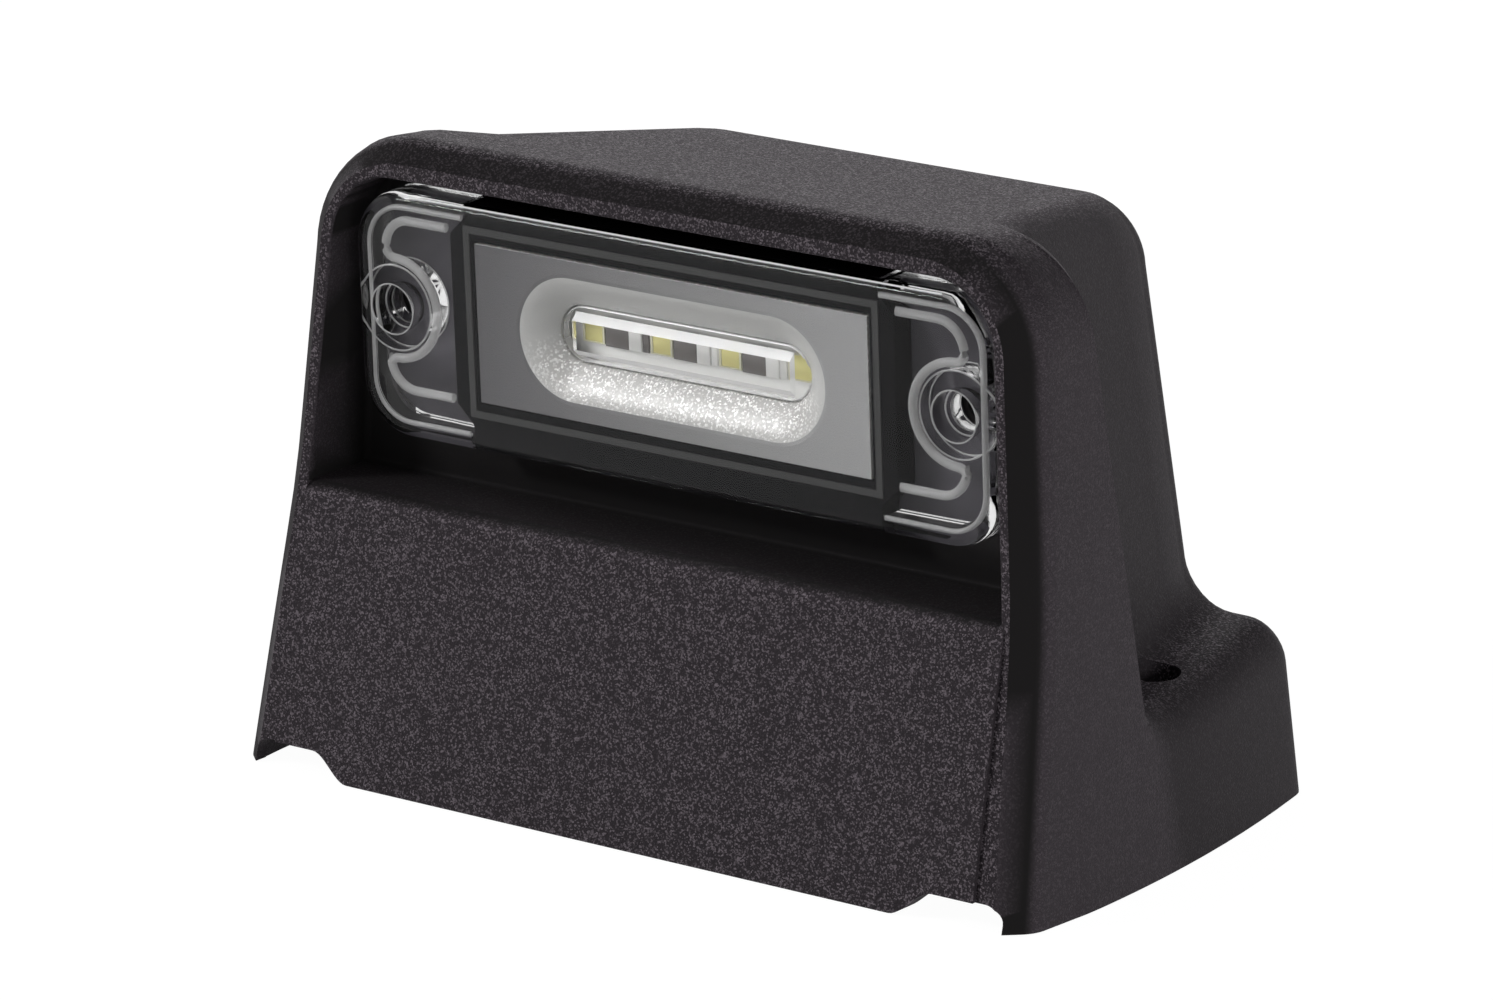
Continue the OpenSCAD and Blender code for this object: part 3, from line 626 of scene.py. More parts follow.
def lens_hollow():
    rings = []
    for a in quarter(4):
        inset = SKIRT_T + LENS_SOFT_R * (1 - math.sin(a))
        rings.append(lens_ring(inset, LENS_BACK + LENS_SOFT_R * (1 - math.cos(a))))
    hollow = loft("hollow", rings + [lens_ring(SKIRT_T, OVER)])
    for side in (-1, 1):
        combine(hollow, rod("boss", BOSS_D / 2, LENS_BACK - SUNK, 2 * OVER, side * SCREW_PITCH / 2))
    return hollow


lens = lens_skin()
combine(lens, lens_hollow())
combine(lens, prism("tray_room", mirrored(tray_half(SLIP / 2)), LENS_BACK, OVER))
for side in (-1, 1):
    x = side * SCREW_PITCH / 2
    combine(lens, rod("screw_hole", SCREW_D / 2, LENS_FRONT - OVER, OVER, x))
    combine(lens, rod("sink", SINK_D / 2, LENS_FRONT - OVER, LENS_FRONT + SINK_DEPTH, x))
soften(seat(lens), 30)
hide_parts("lens")
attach(lens, "root")
report(lens)

# %% [markdown]
# Two raised lines run round each end of the lens on its inner face: one follows the
# skirt, and one bends in an S round the boss. They are round in section, so each is a
# curve with a thickness, turned into a mesh. Clear plastic also gathers light at its
# edges. Thin rings at the bosses and sinks and a bar along each long edge stand for it.


# %% Helpers for the lines of the lens
def arc(cx, cz, r, start, end, count=12):
    turn = [math.radians(mix(start, end, i / count)) for i in range(count + 1)]
    return [(cx + r * math.cos(a), cz + r * math.sin(a)) for a in turn]


def wire(name, path, y, radius):
    """A round line through points in X and Z, at one depth of the light unit."""
    data = bpy.data.curves.new(name, "CURVE")
    data.dimensions = "3D"
    data.bevel_depth = radius * MM
    data.bevel_resolution = 3
    data.use_fill_caps = True
    spline = data.splines.new("POLY")
    spline.points.add(len(path) - 1)
    for point, (x, z) in zip(spline.points, path):
        point.co = (x * MM, y * MM, z * MM, 1)
    obj = bpy.data.objects.new(name, data)
    bpy.context.scene.collection.objects.link(obj)
    pick(obj)
    bpy.ops.object.convert(target="MESH")
    return bpy.context.object


def ring(name, radius, y, x, thickness):
    """A thin ring about a screw hole, a painted highlight of its edge."""
    pick()
    bpy.ops.mesh.primitive_torus_add(
        major_segments=ROUND_SIDES, minor_segments=10,
        major_radius=radius * MM, minor_radius=thickness * MM,
        location=(x * MM, y * MM, 0), rotation=(math.pi / 2, 0, 0))
    return settled(name)


print("points in an arc:", len(arc(0, 0, 1, 0, 90)))

# %% Paths of the lines
RIB_UP_GAP, RIB_DOWN_GAP, RIB_BOSS_GAP, RIB_END_GAP = 1.4, 3.8, 0.9, 0.5
RIB_CORNER_R, RIB_TURN_R, TRAY_GAP = 3.4, 1.1, 0.3
RIB_UP, RIB_DOWN = LENS_UP - SKIRT_T - RIB_UP_GAP, LENS_DOWN - SKIRT_T - RIB_DOWN_GAP


def skirt_path():
    """Round the right end of the lens, just inside its skirt, from tray to tray."""
    w, r = LENS_W / 2 - SKIRT_T, LENS_R - SKIRT_T
    up, down = LENS_UP - SKIRT_T, LENS_DOWN - SKIRT_T
    start = TRAY_W - TRAY_IN + TRAY_GAP
    return ([(start, -down)] + arc(w - r, -down + r, r, -90, 0)
            + arc(w - r, up - r, r, 0, 90) + [(start, up)])


def boss_path():
    """From the tray outwards, back round the inner side of the boss, and to the tray."""
    x = LENS_W / 2 - SKIRT_T * 2 - RIB_END_GAP
    boss_x, r = SCREW_PITCH / 2, BOSS_D / 2 + RIB_BOSS_GAP
    corner, turn = RIB_CORNER_R, RIB_TURN_R
    start = TRAY_W + TRAY_GAP
    bend_z = r + turn
    return ([(start, -RIB_DOWN)] + arc(x - corner, -RIB_DOWN + corner, corner, -90, 0)
            + arc(x - turn, -bend_z, turn, 0, 90, 6) + arc(boss_x, 0, r, 268, 92, 24)
            + arc(x - turn, bend_z, turn, -90, 0, 6)
            + arc(x - corner, RIB_UP - corner, corner, 0, 90) + [(start, RIB_UP)])


print("points in a path:", len(skirt_path()), "and", len(boss_path()))

# %% Lines of the lens
SKIRT_LINE_R, BOSS_LINE_R, LINE_IN = 0.28, 0.55, 0.1
THICK, MIDDLING, THIN = 0.12, 0.11, 0.1
BOSS_END_IN, SINK_FLOOR_IN = 0.15, 0.2
UPPER_IN, UPPER_BACK, LOWER_IN, LOWER_BACK = 0.3, 0.5, 0.2, 1.2
PATHS = (("skirt_line", skirt_path(), SKIRT_LINE_R), ("boss_line", boss_path(), BOSS_LINE_R))
# The rings are painted highlights: light that the clear plastic gathers at the bosses and sinks.
RINGS = (("boss_root", BOSS_D / 2, LENS_BACK + LINE_IN, THICK),
         ("boss_end", BOSS_D / 2, -GASKET_T - BOSS_END_IN, THICK),
         ("sink_edge", SINK_D / 2, LENS_FRONT + LINE_IN, THIN),
         ("sink_floor", SINK_D / 2 - SINK_FLOOR_IN, LENS_FRONT + SINK_DEPTH, THICK))


def edge_highlight(name, z, back, radius):
    """A thin bar, a painted highlight, along the straight stretch of an edge, back from the lens's
    front.
    """
    end = LENS_W / 2 - LENS_R
    return seat(wire(name, [(-end, z), (end, z)], LENS_FRONT + back, radius))


edges = [edge_highlight("upper_edge_highlight", LENS_UP - UPPER_IN, UPPER_BACK, MIDDLING),
         edge_highlight("lower_edge_highlight", LOWER_IN - LENS_DOWN, LOWER_BACK, THIN)]
lines = []
for side in (-1, 1):
    for name, path, radius in PATHS:
        line = wire(name, [(side * x, z) for x, z in path], LENS_BACK + LINE_IN, radius)
        lines.append(seat(line))
    for name, radius, y, thickness in RINGS:
        lines.append(seat(ring(name, radius, y, side * SCREW_PITCH / 2, thickness)))
for line in lines + edges:
    soften(line, 60)
    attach(line, "root")
print("lines:", len(lines), "edges:", len(edges))

# %% [markdown]
# Behind the lens lies the black lamp base with a shallow seat, and in the seat the grey
# reflector. Its bowl is a slot whose walls slope in to the clear bar over the LEDs. Both
# start as plain solids whose rooms are cut away, and the bowl is a loft of slots.

# %% Lamp base
BASE_GAP = 0.12


def rounded(obj, width):
    """Breaks the sharp edges of obj by a small bevel."""
    modify(obj, "BEVEL", width=width * MM, segments=2, limit_method="ANGLE")
    return obj


def lamp_base_solid():
    outline = mirrored(tray_half(-SLIP / 2))
    base = prism("lamp_base_moulding", outline, LENS_BACK + BASE_GAP, -GASKET_T)
    can = block("can", (-CAN_W, -GASKET_T - SUNK, -CAN_H), (CAN_W, CAN_D, CAN_H))
    combine(base, can, "UNION")
    seat_room = block("seat_room", (-PLATE_W - SLIP, LENS_BACK - OVER, -PLATE_H - SLIP),
                      (PLATE_W + SLIP, PLATE_BACK, PLATE_H + SLIP))
    combine(base, seat_room)
    in_w, in_h = CAN_W - CAN_T, CAN_H - CAN_T
    combine(base, block("can_room", (-in_w, LENS_BACK, -in_h), (in_w, CAN_D + OVER, in_h)))
    return rounded(base, 0.25)


lamp_base = lamp_base_solid()
soften(seat(lamp_base), 30)
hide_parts("lamp_base")
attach(lamp_base, "root")
report(lamp_base)

# %% Reflector
BOWL_CURVE = 1.6


def slot_ring(w, h, y):
    """A slot with round ends, w wide and h high, at depth y."""
    r = h / 2
    angles = [math.pi * i / 32 - math.pi / 2 for i in range(33)]
    return both_sides([(w / 2 - r + r * math.cos(a), y, r * math.sin(a)) for a in angles])


def reflector_solid():
    back_w, back_h = BAR_W + 2 * SLIP, BAR_H + 2 * SLIP
    plate = block("reflector_moulding", (-PLATE_W, PLATE_FRONT, -PLATE_H),
                  (PLATE_W, PLATE_BACK, PLATE_H))
    shell = loft("shell", [slot_ring(BOWL_W, BOWL_H, PLATE_FRONT + PLATE_T / 2),
                           slot_ring(back_w + 2 * BOWL_T, back_h + 2 * BOWL_T, WINDOW_BACK)])
    combine(plate, shell, "UNION")
    mouth_h = BOWL_H - 2 * BOWL_T
    depth = WINDOW_FRONT - PLATE_FRONT
    rings = [slot_ring(BOWL_W, mouth_h, PLATE_FRONT - OVER)]
    for f in steps(0, 1, 10):
        curved = f ** BOWL_CURVE
        rings.append(slot_ring(mix(BOWL_W - BOWL_T, back_w, f), mix(mouth_h, back_h, f),
                               PLATE_FRONT + depth * curved))
    rings.append(slot_ring(back_w, back_h, WINDOW_BACK + OVER))
    combine(plate, loft("bowl", rings))
    return plate


reflector = reflector_solid()
soften(seat(reflector), 30)
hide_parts("reflector")
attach(reflector, "root")
report(reflector)

# %% [markdown]
# The clear bar closes the bowl over the LEDs. Its foot is a slot with a rounded rim, made
# as a loft, and on it stands a straight bar whose long faces slope in to a flat front.
# That bar has one section all along, so it is an outline pulled out to both sides.

# %% Clear bar
RAISED_W, RAISED_H, CLEAR_H, RAISED_D, BAR_RIM_R = 29.4, 5.0, 3.3, 0.9, 0.25


def bar_solid():
    rings = []
    for a in quarter(4):
        inset, back = BAR_RIM_R * (1 - math.sin(a)), BAR_RIM_R * (1 - math.cos(a))
        rings.append(slot_ring(BAR_W - 2 * inset, BAR_H - 2 * inset, WINDOW_FRONT + back))
    foot = loft("led_bar", rings + [slot_ring(BAR_W, BAR_H, WINDOW_BACK)])
    front, low = WINDOW_FRONT - RAISED_D, WINDOW_FRONT + SUNK
    right = [(low, RAISED_H / 2), (WINDOW_FRONT, RAISED_H / 2), (front, CLEAR_H / 2)]
    raised = across("raised", right + [(y, -z) for y, z in reversed(right)], RAISED_W / 2)
    combine(foot, raised, "UNION")
    return foot


led_bar = bar_solid()
soften(seat(led_bar), 30)
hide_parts("led_window")
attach(led_bar, "root")
report(led_bar)

# %% [markdown]
# Four LEDs stand in a row on a white circuit board, and in each gap between them lie a
# dark resistor and a bright solder pad. An LED is a pale square frame round a window of
# yellow phosphor. All are blocks with a small bevel, so that their edges catch light.

# %% LEDs
LED_COUNT, LED_SIZE, LED_IN, LED_T, LED_GAP = 4, 3, 2.85, 0.8, 0.4
FRAME_T, FRAME_SIDE, FRAME_UP, PHOSPHOR_SLIP = 0.4, 0.3, 0.15, 0.02
LED_PITCH = (BAR_W - 2 * LED_IN) / (LED_COUNT - 1)
BOARD_FRONT = WINDOW_BACK + LED_GAP + LED_T


def led_x(i):
    return LED_IN - BAR_W / 2 + (i - 1) * LED_PITCH


def led_y(share):
    """A depth inside an LED: share is 0 at its front and 1 on the board."""
    return BOARD_FRONT - FRAME_T * (1 - share)


def led_block(name, i, side, up, y0, y1):
    """A block inside LED i, drawn in by side and up from the edge of the LED."""
    x, w, h = led_x(i), LED_SIZE / 2 - side, LED_SIZE / 2 - up
    return block(name, (x - w, y0, -h), (x + w, y1, h))


def led_frame(i):
    frame_block = led_block(f"led_frame_{i}", i, 0, 0, led_y(0), BOARD_FRONT)
    window = led_block("window", i, FRAME_SIDE, FRAME_UP, led_y(0) - OVER, led_y(0.4))
    combine(frame_block, window)
    return rounded(frame_block, 0.06)


def led_phosphor(i):
    side, up = FRAME_SIDE + PHOSPHOR_SLIP, FRAME_UP + PHOSPHOR_SLIP
    return rounded(led_block(f"phosphor_{i}", i, side, up, led_y(0.1), led_y(0.5)), 0.1)


led_frames, phosphors = [], []
for i in range(1, LED_COUNT + 1):
    led_frames.append(seat(led_frame(i)))
    phosphors.append(seat(led_phosphor(i)))
    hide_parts(f"led_{i}")
for obj in led_frames + phosphors:
    soften(obj, 30)
    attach(obj, "root")
print("LEDs:", len(led_frames))

# %% Resistors between the LEDs
CHIP_W, CHIP_H, CHIP_T, CHIP_GAP = 3.1, 3.2, 0.4, 0.15
SOLDER_W, FOOT_W = 1.8, 0.9


def chip_block(name, start, width, thick):
    return block(name, (start, BOARD_FRONT - thick, -CHIP_H / 2),
                 (start + width, BOARD_FRONT, CHIP_H / 2))


def resistor_pair(i):
    """A resistor and its solder; the first has a dark foot, and the others a bright one."""
    start = led_x(i) + LED_SIZE / 2 + CHIP_GAP
    body = chip_block(f"resistor_body_{i}", start, CHIP_W, CHIP_T)
    cap = chip_block(f"solder_{i}", start + CHIP_W, SOLDER_W, CHIP_T)
    foot = chip_block("foot", start + CHIP_W + SOLDER_W, FOOT_W, CHIP_T / 2)
    combine(body if i == 1 else cap, foot, "UNION")
    return seat(rounded(body, 0.05)), seat(rounded(cap, 0.15))


chips, caps = [], []
for i in range(1, LED_COUNT):
    body, cap = resistor_pair(i)
    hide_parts(f"resistor_{i}")
    chips.append(body)
    caps.append(cap)
for obj in chips + caps:
    soften(obj, 30)
    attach(obj, "root")
print("resistors:", len(chips))

# %% [markdown]
# Now the finishes. The hood is a black plastic with a fine spark texture: grains of about
# a fifth of a millimetre, some of which catch the light as tiny bright points. A node
# group holds that grain, because the reflector's bowl has it too, at its own scale. It
# puts out a height for a Bump node and a mask of scattered bright grains.

# %% Grain group
PEAK_FROM = 0.6


def add_socket(tree, name, in_out):
    return tree.interface.new_socket(name=name, in_out=in_out, socket_type="NodeSocketFloat")


def grain_group():
    tree = bpy.data.node_groups.new("spark_grain", "ShaderNodeTree")
    add_socket(tree, "Grain Scale", "INPUT")
    add_socket(tree, "Height", "OUTPUT")
    add_socket(tree, "Peaks", "OUTPUT")
    node, link = tree.nodes.new, tree.links.new
    given, out = node("NodeGroupInput"), node("NodeGroupOutput")
    place = node("ShaderNodeTexCoord")
    rough = node("ShaderNodeTexNoise")
    rough.inputs["Detail"].default_value = 1
    grains = node("ShaderNodeTexVoronoi")
    one_value = node("ShaderNodeSeparateColor")
    peaks = node("ShaderNodeMapRange")
    peaks.inputs["From Min"].default_value = PEAK_FROM
    for texture in (rough, grains):
        link(place.outputs["Object"], texture.inputs["Vector"])
        link(given.outputs["Grain Scale"], texture.inputs["Scale"])
    link(grains.outputs["Color"], one_value.inputs["Color"])
    link(one_value.outputs["Red"], peaks.inputs["Value"])
    link(rough.outputs["Fac"], out.inputs["Height"])
    link(peaks.outputs["Result"], out.inputs["Peaks"])
    return tree


GRAIN = grain_group()
GRAIN_H = 0.1


def grained(tree, scale, strength):
    """Adds the grain and a Bump node; gives the grain's outputs and the bump height."""
    grain, raised = tree.nodes.new("ShaderNodeGroup"), tree.nodes.new("ShaderNodeBump")
    grain.node_tree = GRAIN
    grain.inputs["Grain Scale"].default_value = scale
    raised.inputs["Strength"].default_value = strength
    raised.inputs["Distance"].default_value = GRAIN_H * MM
    tree.links.new(raised.outputs["Normal"], tree.nodes["Principled BSDF"].inputs["Normal"])
    return grain.outputs, raised.inputs["Height"]


print("node group:", GRAIN.name)


# %% Helpers for finishes
def finish(name, colour, roughness, **more):
    """A material whose values are the same all over; further sockets by their names."""
    material = bpy.data.materials.new(name)
    material.use_nodes = True
    shader = material.node_tree.nodes["Principled BSDF"]
    shader.inputs["Base Color"].default_value = (*colour, 1)
    shader.inputs["Roughness"].default_value = roughness
    for socket, value in more.items():
        shader.inputs[socket.replace("_", " ")].default_value = value
    return material


def paint(material, *objects):
    for obj in objects:
        obj.data.materials.clear()
        obj.data.materials.append(material)


def mixed(tree, kind, factor, a, b):
    """A Mix node; a and b are values or sockets."""
    mix_node = tree.nodes.new("ShaderNodeMix")
    mix_node.data_type = kind
    tree.links.new(factor, mix_node.inputs["Factor"])
    for name, value in (("A", a), ("B", b)):
        socket = next(k for k in mix_node.inputs if k.name == name and k.enabled)
        if hasattr(value, "is_linked"):
            tree.links.new(value, socket)
        else:
            socket.default_value = value
    return next(k for k in mix_node.outputs if k.enabled)


def blended(material, factor, other):
    """Lays another shader over the material's own, by factor."""
    tree = material.node_tree
    link, blend = tree.links.new, tree.nodes.new("ShaderNodeMixShader")
    link(factor, blend.inputs["Fac"])
    link(tree.nodes["Principled BSDF"].outputs["BSDF"], blend.inputs[1])
    link(other, blend.inputs[2])
    link(blend.outputs["Shader"], tree.nodes["Material Output"].inputs["Surface"])


print("materials:", len(bpy.data.materials))

# %% [markdown]
# The textured plastic mixes a dark and a pale colour by the grain's peaks, and bumps the
# surface with the grain's height. The bump makes the gloss of each grain point its own
# way, which is what the eye reads as moulded texture. Where the mask of polish and
# painted shade is 1 the plastic is plain, and painted darker and less shiny as shade.
# Where the calm mask is 1 the peaks give way to an even, low value: a calmer grain,
# painted a little darker as shade.

# %% Textured plastic
# The third colour is painted shade, for the band, the recess and the chin's top.
DARK, PALE, SHADE_COLOUR = (0.007, 0.006, 0.007), (0.13, 0.112, 0.126), (0.012, 0.0115, 0.0115)
TINT, SHEEN_TINT = (1, 0.85, 0.97, 1), (1, 0.75, 0.95, 1)
ROUGH, PEAK_ROUGH, GLOSS, SHADE_GLOSS = 0.6, 0.36, 0.3, 0.04
GRAIN_SCALE, CALM_SHADE_PEAKS, EVEN_HEIGHT = 5600, 0.1, 0.5


def housing_plastic():
    material = finish("housing_plastic", DARK, ROUGH, Specular_Tint=TINT, Sheen_Weight=0.03,
                      Sheen_Roughness=0.4, Sheen_Tint=SHEEN_TINT)
    tree = material.node_tree
    node, link = tree.nodes.new, tree.links.new
    shader = tree.nodes["Principled BSDF"]
    grain, height = grained(tree, GRAIN_SCALE, 1)
    polish_and_shade, calm_and_shade = node("ShaderNodeAttribute"), node("ShaderNodeAttribute")
    polish_and_shade.attribute_name, calm_and_shade.attribute_name = "polish_and_shade", "calm_and_shade"
    painted_shade = polish_and_shade.outputs["Fac"]
    peaks = mixed(tree, "FLOAT", calm_and_shade.outputs["Fac"], grain["Peaks"], CALM_SHADE_PEAKS)
    speckled = mixed(tree, "RGBA", peaks, (*DARK, 1), (*PALE, 1))
    colour = mixed(tree, "RGBA", painted_shade, speckled, (*SHADE_COLOUR, 1))
    roughness = mixed(tree, "FLOAT", peaks, ROUGH, PEAK_ROUGH)
    gloss = mixed(tree, "FLOAT", painted_shade, GLOSS, SHADE_GLOSS)
    link(colour, shader.inputs["Base Color"])
    link(roughness, shader.inputs["Roughness"])
    link(gloss, shader.inputs["Specular IOR Level"])
    link(mixed(tree, "FLOAT", painted_shade, grain["Height"], EVEN_HEIGHT), height)
    return material


paint(housing_plastic(), hood)
print("hood finish:", hood.data.materials[0].name)

# %% [markdown]
# Not all of the hood is textured. The band that slants back from the lip is plain and
# painted dark as shade, and so is the whole recess. The corners of each face get this
# polish and painted shade from their place, so that it can end in a sharp line at the lip
# and fade out along the rounding; on the chin's upper rounding the painted shade grows as
# the face turns up. The sides that face left and right have a calmer grain than the roof
# and the chin, painted a little darker as shade, and behind the ridge they get up to half
# the painted shade as well.

# %% Polish of the hood
FADE_START, FADE, LIP_TURN = math.radians(6), math.radians(15), 0.3
EDGE_SLACK, SIDE_SLACK, BACK_SLACK = 0.1, 0.5, 2
CHIN_FADE_FROM, CHIN_FADE_RATE, BODY_SHADE = 0.5, 2.2, 0.5
# The calm mask calms the grain on the sides and paints them a little darker, as shade.
CALM, CALM_RATE, CALM_FROM = 0.8, 2, 0.4


def share(value):
    """Keeps value between 0 and 1."""
    return max(0.0, min(1.0, value))


def in_recess(x, y, z):
    beside = abs(x) < recess_x(z) + SIDE_SLACK
    level = CHIN_H - EDGE_SLACK < z < RECESS_TOP + SIDE_SLACK
    return beside and level and y < FRONT + UNIT_Y + BACK_SLACK


def on_chin(x, y, z):
    return y < CHIN_Y + CHIN_R + EDGE_SLACK and abs(x) < recess_x(z, 2 * SIDE_SLACK) and z < CHIN_H


# Painted shade, mixed with polish: full in the recess and on the band, fading along the rounding,
# growing on the chin's top as it turns up, and up to half on the body's sides.
def polish_and_shade_at(point, normal):
    x, y, z = (v / MM for v in point)
    behind = y - front_y(z)
    if in_recess(x, y, z):
        return 1.0 if behind > LIP_R else 0.0
    if on_chin(x, y, z):
        return share(CHIN_FADE_RATE * (normal.z - CHIN_FADE_FROM))
    if y > ridge_y(z) + RIDGE_R:
        return BODY_SHADE * abs(normal.x)
    if behind > BAND_D + RIM_R:
        return 0.0
    turned = math.acos(max(-1, min(1, -normal.y)))
    past_band = turned - (math.pi / 2 - BAND_ANGLE)
    if past_band < -LIP_TURN:
        return 0.0
    return share(1 - (past_band - FADE_START) / FADE)


polish_and_shade = hood.data.attributes.new("polish_and_shade", "FLOAT", "CORNER")
calm_and_shade = hood.data.attributes.new("calm_and_shade", "FLOAT", "CORNER")
for face in hood.data.polygons:
    for i in face.loop_indices:
        place = hood.data.vertices[hood.data.loops[i].vertex_index].co
        normal = hood.data.corner_normals[i].vector if face.use_smooth else face.normal
        polish_and_shade.data[i].value = polish_and_shade_at(place, normal)
        calm_and_shade.data[i].value = CALM * share(CALM_RATE * abs(normal.x) - CALM_FROM)
print("polished corners:", sum(d.value > 0.5 for d in polish_and_shade.data), "of", len(polish_and_shade.data))

# %% [markdown]
# Lens and bar are clear plastic. A full transmission with the plastic's own index bends
# what is seen through it, and a transparent shader for shadow rays lets the lamps' light
# reach what lies behind. The shine is toned down, because the pale room would veil the
# inside. The lines and edge bars are painted pale and partly see-through: a painted
# highlight for the light that clear plastic gathers at its ribs and edges.

# %% Clear plastic
SHINE = (0.13, 0.13, 0.13, 1)


def clear(name, roughness, ior):
    material = finish(name, (1, 1, 1), roughness, Transmission_Weight=1, IOR=ior, Specular_Tint=SHINE)
    node = material.node_tree.nodes.new
    path, through = node("ShaderNodeLightPath"), node("ShaderNodeBsdfTransparent")
    blended(material, path.outputs["Is Shadow Ray"], through.outputs["BSDF"])
    return material


paint(clear("lens_clear", 0.02, 1.49), lens)
paint(finish("lens_line_highlight", (0.6, 0.6, 0.6), 0.25, Alpha=0.42), *lines)
paint(finish("lens_edge_highlight", (1, 1, 1), 0.3, Alpha=0.9), *edges)
paint(clear("window_clear", 0.03, 1.2), led_bar)
led_bar.data.materials.append(finish("window_slope_highlight", (0.95, 0.95, 0.95), 0.2, Alpha=0.92))
print("clear pieces:", lens.name, "and", led_bar.name)

# %% [markdown]
# The sloping faces of the bar gather the light of the room and show nearly white from
# most sides, so they are painted nearly white, a painted highlight chosen by the way they face.

# %% Sloping faces of the clear bar
SLOPE_FROM = 0.3

for face in led_bar.data.polygons:
    if abs(face.normal.z) > SLOPE_FROM:
        face.material_index = 1
print("slopes:", sum(face.material_index for face in led_bar.data.polygons))

# %% [markdown]
# The reflector is painted grey. Its plate is painted darker towards the left as shade, and
# its bowl is paler and has painted glints of light on the lower wall. Two attributes say
# where that is: "bowl" is 1 off the plate's flat front, and the glint mask is 1 on faces
# that look up.

# %% Reflector finish
# The plate's two colours paint shade on its left and light on its right.
PLATE_SHADED, PLATE_LIT = (0.07, 0.068, 0.072, 1), (0.3, 0.3, 0.3, 1)
# The bowl's grey is its own; the white grains on its lower wall are a painted glint.
BOWL_GREY, PAINTED_GLINT_GREY, PAINTED_GLINT_WHITE = (0.44, 0.44, 0.43, 1), (0.4, 0.39, 0.38, 1), (0.98, 0.98, 0.96, 1)
BOWL_GRAIN, BOWL_BUMP = 4800, 0.4
FLAT_FRONT, PLATE_SLACK, PAINTED_GLINT_RATE = -0.97, 0.3, 2


def unit_y(point):
    """Depth of a point measured from the front of the bulkhead, in millimetres."""
    y, z = point.y / MM - FRONT - UNIT_Y, point.z / MM - UNIT_Z
    return y * math.cos(UNIT_TILT) + z * math.sin(UNIT_TILT)


def reflector_paint():
    material = finish("reflector_grey", (0.2, 0.2, 0.2), 0.3)
    tree = material.node_tree
    node, link = tree.nodes.new, tree.links.new
    shader = tree.nodes["Principled BSDF"]
    place, apart = node("ShaderNodeTexCoord"), node("ShaderNodeSeparateXYZ")
    shade_across_plate = node("ShaderNodeMapRange")
    bowl, painted_glint = node("ShaderNodeAttribute"), node("ShaderNodeAttribute")
    bowl.attribute_name, painted_glint.attribute_name = "bowl", "painted_glint"
    grain, height = grained(tree, BOWL_GRAIN, BOWL_BUMP)
    shade_across_plate.inputs["From Min"].default_value = -PLATE_W * MM
    shade_across_plate.inputs["From Max"].default_value = PLATE_W * MM
    link(place.outputs["Object"], apart.inputs["Vector"])
    link(apart.outputs["X"], shade_across_plate.inputs["Value"])
    plate = mixed(tree, "RGBA", shade_across_plate.outputs["Result"], PLATE_SHADED, PLATE_LIT)
    painted_sparkle = mixed(tree, "RGBA", grain["Peaks"], PAINTED_GLINT_GREY, PAINTED_GLINT_WHITE)
    wall = mixed(tree, "RGBA", painted_glint.outputs["Fac"], BOWL_GREY, painted_sparkle)
    link(mixed(tree, "RGBA", bowl.outputs["Fac"], plate, wall), shader.inputs["Base Color"])
    link(grain["Height"], height)
    return material


paint(reflector_paint(), reflector)
bowl = reflector.data.attributes.new("bowl", "FLOAT", "CORNER")
painted_glint = reflector.data.attributes.new("painted_glint", "FLOAT", "CORNER")
for face in reflector.data.polygons:
    for i in face.loop_indices:
        corner = reflector.data.vertices[reflector.data.loops[i].vertex_index]
        on_plate = face.normal.y < FLAT_FRONT and unit_y(corner.co) < PLATE_FRONT + PLATE_SLACK
        bowl.data[i].value = 0.0 if on_plate else 1.0
        painted_glint.data[i].value = share(PAINTED_GLINT_RATE * corner.normal.z)
print("bowl corners:", sum(d.value > 0.5 for d in bowl.data))

# %% [markdown]
# The rest of the light unit is plain: black base, rubber seal, dark foam gasket, white
# board, yellow phosphor in pale frames, dark resistors, bright solder. Such small or
# shaded pieces need no pattern, so each value stands in its shader.

# %% Finishes of the light unit
paint(finish("base_plastic", (0.004, 0.0038, 0.0045), 0.6, Specular_IOR_Level=0.02), lamp_base)
paint(finish("seal_rubber", (0.02, 0.02, 0.02), 0.6), nodes["lens_seal"])
paint(finish("gasket_foam", (0.07, 0.066, 0.076), 0.8, Specular_IOR_Level=0.2), nodes["gasket"])
paint(finish("board_white", (0.92, 0.92, 0.9), 0.4), nodes["circuit_board"])
paint(finish("led_yellow", (0.86, 0.8, 0.34), 0.4), *phosphors)
paint(finish("led_pale", (0.82, 0.8, 0.62), 0.35), *led_frames)
paint(finish("chip_black", (0.19, 0.175, 0.17), 0.4), *chips)
paint(finish("solder", (0.95, 0.95, 0.93), 0.3), *caps)
print("finishes:", len(bpy.data.materials))

# %% Finishes of the hidden pieces
black = finish("chip_plastic", (0.02, 0.02, 0.022), 0.5)
paint(black, *(nodes[name] for name in ("driver_chip", "diode", "surge_absorber")))
paint(finish("capacitor_can", (0.75, 0.75, 0.76), 0.3, Metallic=1), nodes["capacitor"])
paint(finish("pin_brass", (0.7, 0.55, 0.3), 0.3, Metallic=1), nodes["supply_pin"], nodes["ground_pin"])
paint(finish("cover_plastic", (0.02, 0.019, 0.02), 0.45), nodes["back_cover"])
paint(finish("grommet_rubber", (0.018, 0.018, 0.018), 0.7), nodes["cable_grommet"])
print("all finishes:", len(bpy.data.materials))

# %% [markdown]
# The studio is plain: a pale floor and three soft lamps. The floor shows white to the
# camera and still takes the lamp's shadow, because part of its light is its own. The
# shares say how much: for a ray from the camera, in a gloss and through clear plastic.

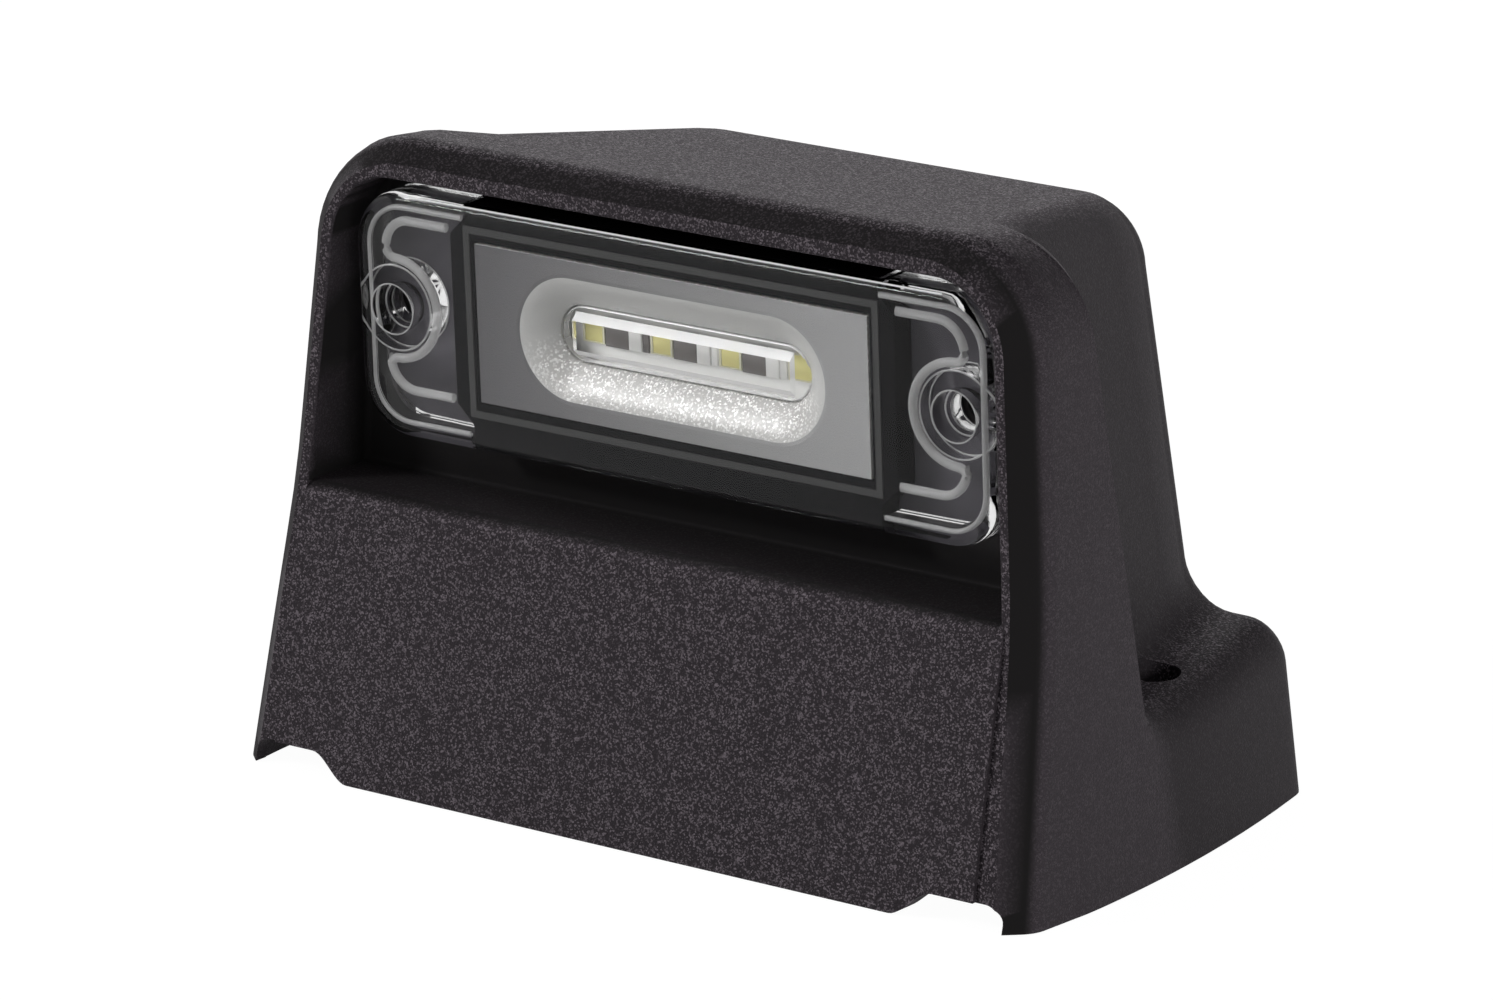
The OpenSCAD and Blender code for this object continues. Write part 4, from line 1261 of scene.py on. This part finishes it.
# %% Floor
FLOOR_R, FLOOR_DOWN = 3, 0.0002
GLOW, GLOSSY_SHARE, CLEAR_SHARE, CAMERA_SHARE = 1.08, 0.3, 0.5, 0.9


def by_ray(tree, other, glossy, clear, camera):
    """A value for each kind of ray."""
    path, level = tree.nodes.new("ShaderNodeLightPath"), other
    kinds = (("Is Glossy Ray", glossy), ("Is Transmission Ray", clear), ("Is Camera Ray", camera))
    for kind, value in kinds:
        level = mixed(tree, "FLOAT", path.outputs[kind], level, value)
    return level


def studio_floor():
    pick()
    bpy.ops.mesh.primitive_circle_add(
        vertices=96, radius=FLOOR_R, fill_type="NGON", location=(0, 0, -FLOOR_DOWN))
    obj = bpy.context.object
    obj.name = "floor"
    material = finish("floor_white", (0.8, 0.8, 0.8), 0.8)
    tree = material.node_tree
    glow = tree.nodes.new("ShaderNodeEmission")
    glow.inputs["Strength"].default_value = GLOW
    glow_share = by_ray(tree, 0.0, GLOSSY_SHARE, CLEAR_SHARE, CAMERA_SHARE)
    blended(material, glow_share, glow.outputs["Emission"])
    paint(material, obj)
    return obj


studio_floor()
print("floor", 2 * FLOOR_R, "m wide")

# %% [markdown]
# The world is white where the camera sees it and gives even light to all matt surfaces.
# Gloss and clear plastic see a white horizon under a dim ceiling instead, as in a room,
# which gives them a light side and a dark one.

# %% World
EVEN_LIGHT, CAMERA_WHITE = 0.4, 1.0
HORIZON = (("From Min", 0.05), ("From Max", 0.4), ("To Min", 1), ("To Max", 0.12))


def studio_world():
    world = bpy.data.worlds.new("studio")
    bpy.context.scene.world = world
    world.use_nodes = True
    tree = world.node_tree
    node, link = tree.nodes.new, tree.links.new
    background = tree.nodes["Background"]
    background.inputs["Color"].default_value = (1, 1, 1, 1)
    place, apart = node("ShaderNodeTexCoord"), node("ShaderNodeSeparateXYZ")
    ceiling = node("ShaderNodeMapRange")
    for name, value in HORIZON:
        ceiling.inputs[name].default_value = value
    link(place.outputs["Generated"], apart.inputs["Vector"])
    link(apart.outputs["Z"], ceiling.inputs["Value"])
    dimmed = ceiling.outputs["Result"]
    link(by_ray(tree, EVEN_LIGHT, dimmed, dimmed, CAMERA_WHITE), background.inputs["Strength"])


studio_world()
print("world:", bpy.context.scene.world.name)


# %% Lamps
def lamp(name, place, width, height, power):
    """A soft lamp that faces the origin; place and size in metres, power in watts."""
    bpy.ops.object.light_add(type="AREA", location=place)
    obj = bpy.context.object
    obj.name = name
    obj.data.shape = "RECTANGLE"
    obj.data.size, obj.data.size_y = width, height
    obj.data.energy = power
    obj.rotation_euler = (-Vector(place)).to_track_quat("-Z", "Y").to_euler()


lamp("main", (-1.2, -1.3, 1.2), 0.5, 0.3, 17)
lamp("right", (1.85, -0.1, 0.45), 0.3, 0.5, 12)
lamp("back_left", (-1.1, 1.3, 0.9), 1.0, 0.7, 2.5)
print("lamps:", len(bpy.data.lights))
